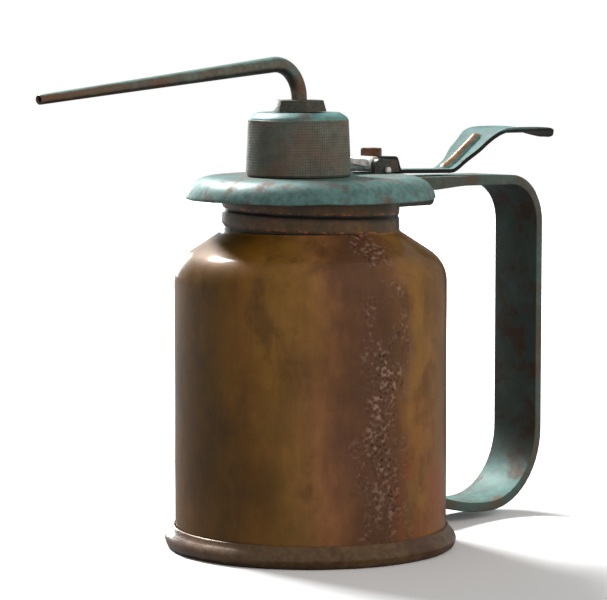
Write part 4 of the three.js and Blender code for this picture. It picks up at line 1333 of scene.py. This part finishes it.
@dataclass
class Hinge:
    """Two ears on the cap, the pin through them and its keeper."""

    ear: float = 1.8
    nose: float = 2.5
    trim: float = 0.7
    keeper_width: float = 2.1
    keeper_back: float = 0.5
    keeper_drop: float = 1.4

    def build(self) -> None:
        """Builds the bracket, the pin and the keeper."""
        self.build_bracket()
        self.build_pin()
        self.build_keeper()

    def build_bracket(self) -> None:
        """Cuts one ear, copies it to the far side and joins both by a web."""
        low, high = in_mm("hinge_bracket")
        low += Vector((self.trim, 0, -CAP_SINK))
        high.x -= self.trim
        nose = arc(low.x + self.nose, high.z - self.nose - 0.1, self.nose, 180, 85, 8)
        outline = [(low.x, low.z), *nose, (high.x - 1.0, high.z - 0.8), (high.x - 0.6, high.z - 1.2),
                   (high.x, low.z)]
        near = cut_plate("hinge_ears", outline, low.y * MM, (low.y + self.ear) * MM)
        far = copy_piece(near, "far_ear")
        mirror_over_middle(far)
        unite(near, far)
        web = start_box("web", Vector((high.x - 4.9, low.y + 1, low.z)) * MM,
                        Vector((high.x - 1.1, high.y - 1, low.z + 1.0)) * MM)
        unite(near, web)
        carve(near, start_rod("tool", middle_mm("pivot_pin") * MM, 40 * MM, PIN_BORE * MM, 32, ACROSS))
        soften(near, 0.22 * MM, 2, 40)
        smooth(near)
        hand_over(near, Body.CAP, DARK_STEEL, "hinge_bracket")

    def build_pin(self) -> None:
        """Turns the pin, with a domed head and a rounded end."""
        middle = middle_mm("pivot_pin")
        r = PIN_RADIUS
        near = in_mm("hinge_bracket")[0].y - 0.15
        length = in_mm("pivot_pin")[1].y - near
        profile = [(0, 0), (r - 0.3, 0), (r, 0.3), (r, length - 0.8), (r + 0.6, length - 0.8),
                   (r + 0.6, length - 0.4), (r + 0.2, length), (0, length)]
        pin = turn_piece("hinge_pin", profile, 32)
        press(pin, lambda at: Vector((middle.x * MM + at.x, near * MM + at.z, middle.z * MM - at.y)))
        smooth(pin)
        hand_over(pin, Body.CAP, PIN_STEEL, "pivot_pin")

    def build_keeper(self) -> None:
        """Cuts the small round-topped keeper beside the near ear."""
        low, high = in_mm("pin_keeper")
        low -= Vector((self.keeper_back, 0, CAP_SINK))
        ear = in_mm("hinge_bracket")[0].y
        r = self.keeper_width / 2
        top = high.z - self.keeper_drop
        outline = [(low.x, low.z), (low.x + 2 * r, low.z), *arc(low.x + r, top - r, r, 0, 180, 12)]
        keeper = cut_plate("pin_keeper_lug", outline, (ear - 1.45) * MM, (ear - 0.15) * MM)
        soften(keeper, 0.3 * MM, 3, 40)
        smooth(keeper)
        hand_over(keeper, Body.CAP, WORN_STEEL, "pin_keeper")


# ---------------------------------------------------------------- thumb lever


@dataclass
class Lever:
    """The thumb lever: pressed plate with a rib, the fork that works the pump, and their screw."""

    thickness: float = 1.3
    arm_half: float = 4.8
    waist_half: float = 4.1
    pad_half: float = 8.3
    rib_half: float = 1.2
    rib_height: float = 1.5
    fork_half: float = 3.6
    nose_radius: float = 1.6
    tube_half: float = 2.4
    barrel_radius: float = 2.45
    tip_run: float = 9.5
    steps: int = 132
    across: int = 28

    def line(self) -> Profile:
        """The plate's middle line (x, z) in millimetres, from the root to the pad's end."""
        low, high = in_mm("thumb_lever")
        root = self.root_end()
        tip = high.x
        root_z = self.plate_top() - self.thickness / 2
        strap = in_mm("strap_handle")[1].z
        return [(low.x, root_z), (root, root_z), (root + 1.2, root_z - 0.5),
                (root + 3.0, strap + 1.9), (root + 6.6, strap + 1.55), (tip - 56, strap + 1.0),
                (tip - 52.5, strap + 0.9), (tip - 50, strap + 1.35), (tip - 45.3, strap + 3.9),
                (tip - 39, strap + 8.0), (tip - 33.4, strap + 11.6), (tip - 29.6, strap + 12.9),
                (tip - 25, strap + 13.35), (tip - 17, strap + 13.3), (tip - 9, strap + 13.2),
                (tip - 5, strap + 12.7), (tip - 2.2, strap + 11.8), (tip, strap + 10.9)]

    def root_end(self) -> float:
        """Where the plate leaves the hinge and drops to the strap."""
        return in_mm("hinge_bracket")[1].x - 0.5

    def plate_top(self) -> float:
        """The height of the plate's upper face over the hinge."""
        return in_mm("pivot_pin")[0].z + 2.4 + self.thickness

    def build(self) -> None:
        """Builds the plate, the fork and the screw."""
        self.build_plate()
        self.build_fork()
        self.build_screw()

    def build_plate(self) -> None:
        """Shapes a grid along the line, raises the rib, dishes the pad and gives it thickness."""
        line = smooth_line(self.line(), 24)
        length = line_lengths(line)
        clear_selection()
        bpy.ops.mesh.primitive_grid_add(x_subdivisions=self.steps, y_subdivisions=self.across, size=2)
        plate = settle("thumb_plate")
        low, high = in_mm("thumb_lever")
        root = self.root_end()
        tip = high.x
        widths = [(low.x, self.arm_half), (root + 0.6, self.arm_half), (root + 8.6, 4.2),
                  (tip - 53, self.waist_half), (tip - 47, 4.4), (tip - 39, 6.4), (tip - 30, 8.0),
                  (tip - 24, self.pad_half), (tip - 6, self.pad_half)]

        def shape(at: Vector) -> Vector:
            """The place of a grid point on the plate."""
            point, ahead = walk(line, length, (at.x + 1) / 2 * length[-1])
            half = read_table(widths, point[0])
            near_tip = tip - point[0]
            if near_tip < self.tip_run:
                past = (self.tip_run - near_tip) / (self.tip_run + 0.3)
                half *= math.sqrt(max(1 - past ** 2, 0.02))
            y = at.y * half
            normal = (-ahead[1], ahead[0])
            lift = self.rib(point[0], y, tip)
            dish = -0.5 * ease((point[0] - (tip - 34)) / 12) * (1 - at.y ** 2) * ease(near_tip / 8)
            curl = 0.35 * at.y ** 4 * ease((point[0] - (tip - 50)) / 10) * ease((near_tip - 6) / 12)
            out = lift + dish + curl
            return Vector((point[0] + normal[0] * out, y, point[1] + normal[1] * out)) * MM

        press(plate, shape)
        face_outward(plate)
        apply_modifier(plate, "SOLIDIFY", thickness=self.thickness * MM, offset=0.0)
        carve(plate, start_rod("tool", middle_mm("lever_screw") * MM, 30 * MM, SCREW_BORE * MM, 32))
        soften(plate, 0.28 * MM, 2, 50)
        smooth(plate, 45)
        plate.data.materials.append(paint(LEVER_TEAL))
        plate.data.materials.append(paint(RIB_COPPER))
        for face in plate.data.polygons:
            x, y, _ = face.center / MM
            face.material_index = int(self.rib(x, y, tip) > 0.3 and face.normal.z > 0.2)
        hand_over(plate, Body.LEVER, LEVER_TEAL, "thumb_lever")

    def rib(self, x: float, y: float, tip: float) -> float:
        """The height of the pressed rib at a point."""
        along = ease((x - (tip - 53.5)) / 3) * ease((tip - 33.5 - x) / 1.6)
        across = ease(1.15 - abs(y) / (self.rib_half * 1.4))
        return self.rib_height * along * across

    def build_fork(self) -> None:
        """Cuts the fork's side view, adds its barrel and nose, and saws the slot for the tube."""
        high = in_mm("pump_arm")[1]
        pivot = middle_mm("pivot_pin")
        axis = middle_mm("knurled_head").x
        nose = self.nose_radius
        top = high.z - nose + 0.2
        arm = [
            (axis - 2.3, top - 2.2), (axis + 7.1, top - 2.2), (pivot.x - 13, pivot.z + 1.0),
            (pivot.x - 1.6, pivot.z - 0.9), (pivot.x, pivot.z + 0.8), (pivot.x - 1.2, pivot.z + 1.5),
            (pivot.x - 10.5, pivot.z + 2.3), (axis + 11, top), (axis - 2.3, top)]
        half, narrow = self.arm_half * MM, self.fork_half * MM
        fork = cut_plate("lever_fork", arm, -narrow, narrow)
        soften(fork, 0.45 * MM, 3, 50)
        foot = [(pivot.x, pivot.z - 0.6), (high.x, pivot.z - 0.6), (high.x, pivot.z + 0.8),
                (pivot.x, pivot.z + 0.8)]
        unite(fork, cut_plate("foot", foot, -half, half))
        barrel = start_rod("barrel", pivot * MM, 2 * half, self.barrel_radius * MM, 48, ACROSS)
        soften(barrel, 0.25 * MM, 2)
        unite(fork, barrel)
        nose_at = Vector((axis, 0, high.z - nose)) * MM
        unite(fork, start_rod("nose", nose_at, 2 * narrow, nose * MM, 24, ACROSS))
        carve(fork, start_box("tool", Vector((axis - 10, -self.tube_half, top - 6)) * MM,
                              Vector((axis + 4.1, self.tube_half, high.z + 3)) * MM))
        carve(fork, start_rod("tool", pivot * MM, 40 * MM, PIN_BORE * MM, 32, ACROSS))
        carve(fork, start_rod("tool", middle_mm("lever_screw") * MM, 20 * MM, SCREW_BORE * MM, 24))
        smooth(fork)
        hand_over(fork, Body.LEVER, WORN_STEEL, "pump_arm")

    def build_screw(self) -> None:
        """Shapes a hexagon head with a washer face and a domed top, on its shank."""
        low, high = in_mm("lever_screw")
        middle = middle_mm("lever_screw")
        across = (high.y - low.y) / 2
        seat = self.plate_top() + 0.02
        head = start_rod("lever_screw_head", Vector((middle.x, 0, (high.z + seat) / 2)) * MM,
                         (high.z - seat) * MM, across * MM, 6)
        with editing(head):
            pick_faces(head, lambda at, way: way.z > 0.9)
            bpy.ops.mesh.inset(thickness=0.35 * MM)
            bpy.ops.mesh.inset(thickness=0.5 * MM)
        with editing(head, "EDGE"):
            pick_edges(head, lambda at, way: abs(at.z - high.z * MM) < 0.01 * MM
                       and math.hypot(at.x - middle.x * MM, at.y) > (across - 0.5) * MM * 0.86)
            bpy.ops.mesh.bevel(offset=0.4 * MM, segments=2, affect="EDGES")
        soften(head, 0.12 * MM, 2, 30)
        shank_length = high.z - 1.5 - low.z
        shank = start_rod("shank", Vector((middle.x, 0, low.z + shank_length / 2)) * MM,
                          shank_length * MM, 1.1 * MM, 24)
        unite(head, shank)
        smooth(head)
        hand_over(head, Body.LEVER, RUSTY_STEEL, "lever_screw")


def smooth_line(points: Profile, per_span: int) -> Profile:
    """A rounded line through points, by even Catmull-Rom spans."""
    line: Profile = []
    for i in range(len(points) - 1):
        p = [Vector(points[max(min(k, len(points) - 1), 0)]) for k in (i - 1, i, i + 1, i + 2)]
        for step in range(per_span):
            t = step / per_span
            place = 0.5 * ((2 * p[1]) + (p[2] - p[0]) * t
                           + (2 * p[0] - 5 * p[1] + 4 * p[2] - p[3]) * t * t
                           + (3 * p[1] - p[0] - 3 * p[2] + p[3]) * t ** 3)
            line.append((place.x, place.y))
    line.append(points[-1])
    return line


def line_lengths(line: Profile) -> list[float]:
    """The run from the line's start to each of its points."""
    runs = [0.0]
    for a, b in zip(line, line[1:]):
        runs.append(runs[-1] + math.dist(a, b))
    return runs


def walk(line: Profile, runs: list[float], run: float) -> tuple[Point, Point]:
    """The point and the direction at a run along a line."""
    i = next((k for k in range(1, len(runs)) if runs[k] >= run), len(runs) - 1)
    a, b = line[i - 1], line[i]
    span = max(runs[i] - runs[i - 1], 1e-9)
    t = (run - runs[i - 1]) / span
    way = ((b[0] - a[0]) / span, (b[1] - a[1]) / span)
    return (a[0] + (b[0] - a[0]) * t, a[1] + (b[1] - a[1]) * t), way


def read_table(table: Profile, x: float) -> float:
    """A value read between the rows of a table, eased."""
    for (x0, v0), (x1, v1) in zip(table, table[1:]):
        if x <= x1:
            return v0 + (v1 - v0) * ease((x - x0) / (x1 - x0))
    return table[-1][1]


# ---------------------------------------------------------------- pump head


@dataclass
class PumpHead:
    """The knurled head over the pump, and the nut that holds the spout."""

    top_radius: float = 15.4
    chamfer: float = 2.8
    cavity: float = 12.0
    roof: float = 1.8
    skirt: float = 3.7
    boss: float = 9.99
    nipple: float = 4.8
    nut_roof: float = 2.25
    spout_bore: float = 2.7
    slot_half: float = 5.2
    rows: int = 20
    columns: int = 126
    tooth: float = 0.16

    def build(self) -> None:
        """Builds the head, then the nut."""
        self.build_head()
        self.build_nut()

    def build_head(self) -> None:
        """Spins the head, raises the knurl's teeth and cuts the lever's slot."""
        low, high = in_mm("knurled_head")
        outer = (high.x - low.x) / 2
        axis = middle_mm("knurled_head").x
        foot, top = low.z - CAP_SINK, high.z
        shoulder = top - 2.0
        levels = rise(foot + 0.5, shoulder - 0.15, self.rows)
        lean = [(outer - 0.17 + (self.top_radius - outer) * (z - foot) / (shoulder - foot), z)
                for z in levels]
        profile = [
            (self.cavity + 0.3, foot), (outer - 0.6, foot), *lean,
            *curve((self.top_radius - 0.2, shoulder), (self.top_radius - 0.6, shoulder + 0.9),
                   (self.top_radius - self.chamfer + 0.3, top - 0.15), 5),
            (self.top_radius - self.chamfer, top), (9, top), (self.nipple, top),
            (self.nipple, top - self.roof), (self.cavity, top - self.roof),
            (self.cavity, foot + self.skirt), (self.boss, foot + self.skirt), (self.boss, foot + 0.01)]
        head = turn_piece("pump_head", profile, self.columns, axis * MM)
        wall_low, wall_high = levels[0] * MM, levels[-1] * MM
        with editing(head):
            pick_faces(head, lambda at, way: wall_low < at.z < wall_high and abs(way.z) < 0.3
                       and math.hypot(at.x - axis * MM, at.y) > (self.top_radius - 0.8) * MM)
            bpy.ops.mesh.inset(thickness=0.1 * MM, depth=self.tooth * MM, use_individual=True)
        slot = start_box("tool", Vector((axis + 4, -self.slot_half, foot - 1)) * MM,
                         Vector((axis + outer + 2, self.slot_half, in_mm("pump_arm")[1].z - 0.3)) * MM)
        carve(head, slot)
        smooth(head, 28)
        head.data.materials.append(paint(HEAD_STEEL))
        head.data.materials.append(paint(CHAMFER_TEAL))
        for face in head.data.polygons:
            face.material_index = int(face.center.z > wall_high + 0.05 * MM)
        hand_over(head, Body.CAP, HEAD_STEEL, "knurled_head")

    def build_nut(self) -> None:
        """Shapes the hexagon nut with a chamfered top, and bores it for the spout."""
        low, high = in_mm("spout_nut")
        middle = middle_mm("spout_nut")
        middle.y = 0
        outer = (high.x - low.x) / 2
        nut = start_rod("spout_nut_hex", middle * MM, (high.z - low.z) * MM, outer * MM, 6,
                        (0, 0, math.pi / 2), (outer - 1.0) * MM)
        with editing(nut):
            pick_faces(nut, lambda at, way: way.z > 0.9)
            bpy.ops.mesh.inset(thickness=1.0 * MM)
            bpy.ops.transform.translate(value=(0, 0, -0.25 * MM))
            bpy.ops.mesh.inset(thickness=1.2 * MM)
            bpy.ops.transform.translate(value=(0, 0, 0.25 * MM))
        soften(nut, 0.2 * MM, 2, 12)
        socket = middle - Vector((0, 0, self.nut_roof))
        carve(nut, start_rod("tool", socket * MM, 6 * MM, self.nipple * MM, 48))
        carve(nut, start_rod("tool", middle * MM, 20 * MM, self.spout_bore * MM, 48))
        smooth(nut, 25)
        hand_over(nut, Body.CAP, NUT_STEEL, "spout_nut")


# ---------------------------------------------------------------- spout


@dataclass
class Spout:
    """The long tapered tube with its one bend."""

    radius: float = 2.4
    tip_radius: float = 1.45
    tip_round: float = 0.25
    bend_radius: float = 10.5
    fall: float = 5.4
    wall: float = 0.75

    def build(self) -> None:
        """Draws a ring up, round the bend and out to the tip, then gives it a wall."""
        low, high = in_mm("spout_tube")
        foot = Vector((middle_mm("spout_nut").x, 0, low.z)) * MM
        clear_selection()
        bpy.ops.mesh.primitive_circle_add(vertices=40, radius=self.radius * MM, location=foot,
                                          fill_type="NOTHING")
        tube = settle("spout_pipe")
        open_whole("EDGE")
        line = Sweep(tube, foot, math.pi / 2)
        bend_top = high.z - self.radius
        line.run((bend_top - self.bend_radius - low.z) * MM, 4)
        line.bend(self.bend_radius * MM, 90 + self.fall, 28)
        reach = (line.place.x / MM - low.x) / math.cos(math.radians(self.fall))
        line.run((reach - self.tip_round) * MM, 36, self.tip_radius / self.radius)
        line.run(self.tip_round * MM, 1, 0.86)
        close_skin(tube)
        apply_modifier(tube, "SOLIDIFY", thickness=self.wall * MM, offset=-1.0)
        smooth(tube, 40)
        hand_over(tube, Body.SPOUT, SPOUT_STEEL, "spout_tube")


# ---------------------------------------------------------------- inner pump


@dataclass
class InnerPump:
    """The pump's inner pieces, which keep their CAD shapes and take real finishes."""

    finishes: dict[Slot, Finish] = field(default_factory=lambda: {
        Slot.BRASS: DULL_BRASS, Slot.STEEL: INNER_STEEL, Slot.LEATHER: OILED_LEATHER,
        Slot.RUBBER: RUBBER})
    nodes: dict[Slot, tuple[str, ...]] = field(default_factory=lambda: {
        Slot.BRASS: ("pump_boss", "outlet_nipple", "spout_ferrule", "pump_barrel", "barrel_cap",
                     "gland_nut", "piston", "piston_nut", "foot_valve", "ball_stop", "strainer"),
        Slot.STEEL: ("plunger_tube", "plunger_collar", "delivery_ball", "return_spring", "foot_ball"),
        Slot.LEATHER: ("outlet_packing", "gland_packing", "leather_cup"),
        Slot.RUBBER: ("cap_gasket",)})

    def build(self) -> None:
        """Puts each finish on its nodes."""
        for slot, names in self.nodes.items():
            for name in names:
                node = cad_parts[name]
                for holder in node.material_slots:
                    holder.material = paint(self.finishes[slot])
                log.info("%s: CAD node in %s", name, self.finishes[slot].name)


# ---------------------------------------------------------------- studio


@dataclass
class Studio:
    """Camera, lights, pale floor and plain surroundings."""

    look_at: Triple = (0.003609, 0.006555, 0.075633)
    azimuth: float = -46.0
    elevation: float = 5.4
    distance: float = 0.9177
    lens: float = 174.96
    surround: float = 0.3
    floor_radius: float = 1.9
    floor_seen: float = 0.94
    floor_bounce: float = 0.18

    def way(self, right: float, up: float, back: float) -> Vector:
        """A direction told from the camera: to its right, up, and towards it."""
        turn = math.radians(self.azimuth)
        side = Vector((math.cos(turn), math.sin(turn), 0))
        toward = Vector((math.sin(turn), -math.cos(turn), 0))
        return (side * right + toward * back + Vector((0, 0, up))).normalized()

    def add_camera(self) -> None:
        """Places the camera."""
        turn, rise_angle = math.radians(self.azimuth), math.radians(self.elevation)
        back = Vector((math.sin(turn) * math.cos(rise_angle), -math.cos(turn) * math.cos(rise_angle),
                       math.sin(rise_angle)))
        lens = bpy.data.cameras.new("camera")
        lens.lens = self.lens
        lens.sensor_width = 36.0
        lens.clip_start, lens.clip_end = 0.01, 60.0
        camera = bpy.data.objects.new("camera", lens)
        camera.location = Vector(self.look_at) + back * self.distance
        camera.rotation_euler = (-back).to_track_quat("-Z", "Y").to_euler()
        bpy.context.scene.collection.objects.link(camera)
        bpy.context.scene.camera = camera

    def add_light(self, name: str, way: Vector, distance: float, size: float, power: float,
                  colour: Triple = (1.0, 1.0, 1.0), shine: bool = True) -> None:
        """Hangs one soft light that looks at the can.

        Args:
            name: The light's name.
            way: The direction from the can to the light.
            distance: How far off it hangs, in metres.
            size: Its width in metres.
            power: Its power in watts.
            colour: Its colour.
            shine: Whether it makes a highlight.
        """
        lamp = bpy.data.lights.new(name, "AREA")
        lamp.shape = "DISK"
        lamp.size = size
        lamp.energy = power
        lamp.color = colour
        holder = bpy.data.objects.new(name, lamp)
        holder.visible_glossy = shine
        holder.location = Vector(self.look_at) + way * distance
        holder.rotation_euler = (-way).to_track_quat("-Z", "Y").to_euler()
        bpy.context.scene.collection.objects.link(holder)

    def add_floor(self) -> None:
        """Lays the pale floor, which throws less light on the can than the camera sees."""
        clear_selection()
        bpy.ops.mesh.primitive_circle_add(vertices=96, radius=self.floor_radius, fill_type="NGON")
        floor = settle("floor")
        pale = bpy.data.materials.new("pale_floor")
        pale.use_nodes = True
        tree = pale.node_tree
        shader = tree.nodes["Principled BSDF"]
        eye = put(tree, "ShaderNodeLightPath").outputs["Is Camera Ray"]
        seen = ramp(tree, eye, 0.0, 1.0, self.floor_bounce, self.floor_seen)
        tree.links.new(grey(tree, seen), shader.inputs["Base Color"])
        shader.inputs["Roughness"].default_value = 0.95
        shader.inputs["Specular IOR Level"].default_value = 0.0
        floor.data.materials.append(pale)

    def add_world(self) -> None:
        """Lights the surroundings evenly and shows them white."""
        world = bpy.data.worlds.new("surroundings")
        world.use_nodes = True
        tree = world.node_tree
        eye = put(tree, "ShaderNodeLightPath").outputs["Is Camera Ray"]
        glow = ramp(tree, eye, 0.0, 1.0, self.surround, 1.0)
        tree.links.new(glow, tree.nodes["Background"].inputs["Strength"])
        tree.nodes["Background"].inputs["Color"].default_value = (1.0, 1.0, 1.0, 1.0)
        bpy.context.scene.world = world

    def build(self) -> None:
        """Sets up the studio."""
        self.add_world()
        self.add_floor()
        self.add_light("key", self.way(-0.42, 0.72, -0.56), distance=2.2, size=0.7, power=96.0)
        self.add_light("fill", self.way(0.72, 0.35, 0.62), distance=2.4, size=2.6, power=44.0,
                       colour=(1.0, 0.97, 0.93), shine=False)
        self.add_light("rim", self.way(-0.36, 0.12, -0.94), distance=2.4, size=0.7, power=13.0,
                       colour=(0.9, 1.0, 1.0))
        self.add_camera()
        bpy.context.scene.view_settings.view_transform = "Standard"


def main() -> None:
    """Sets up the studio, then builds the oiler piece by piece."""
    logging.basicConfig(level=logging.INFO, format="%(message)s")
    build_groups()
    Studio().build()
    for part in (Can(), ScrewCap(), StrapHandle(), Hinge(), Lever(), PumpHead(), Spout(), InnerPump()):
        part.build()
        log.info("%s built", type(part).__name__)


if __name__ == "__main__":
    main()
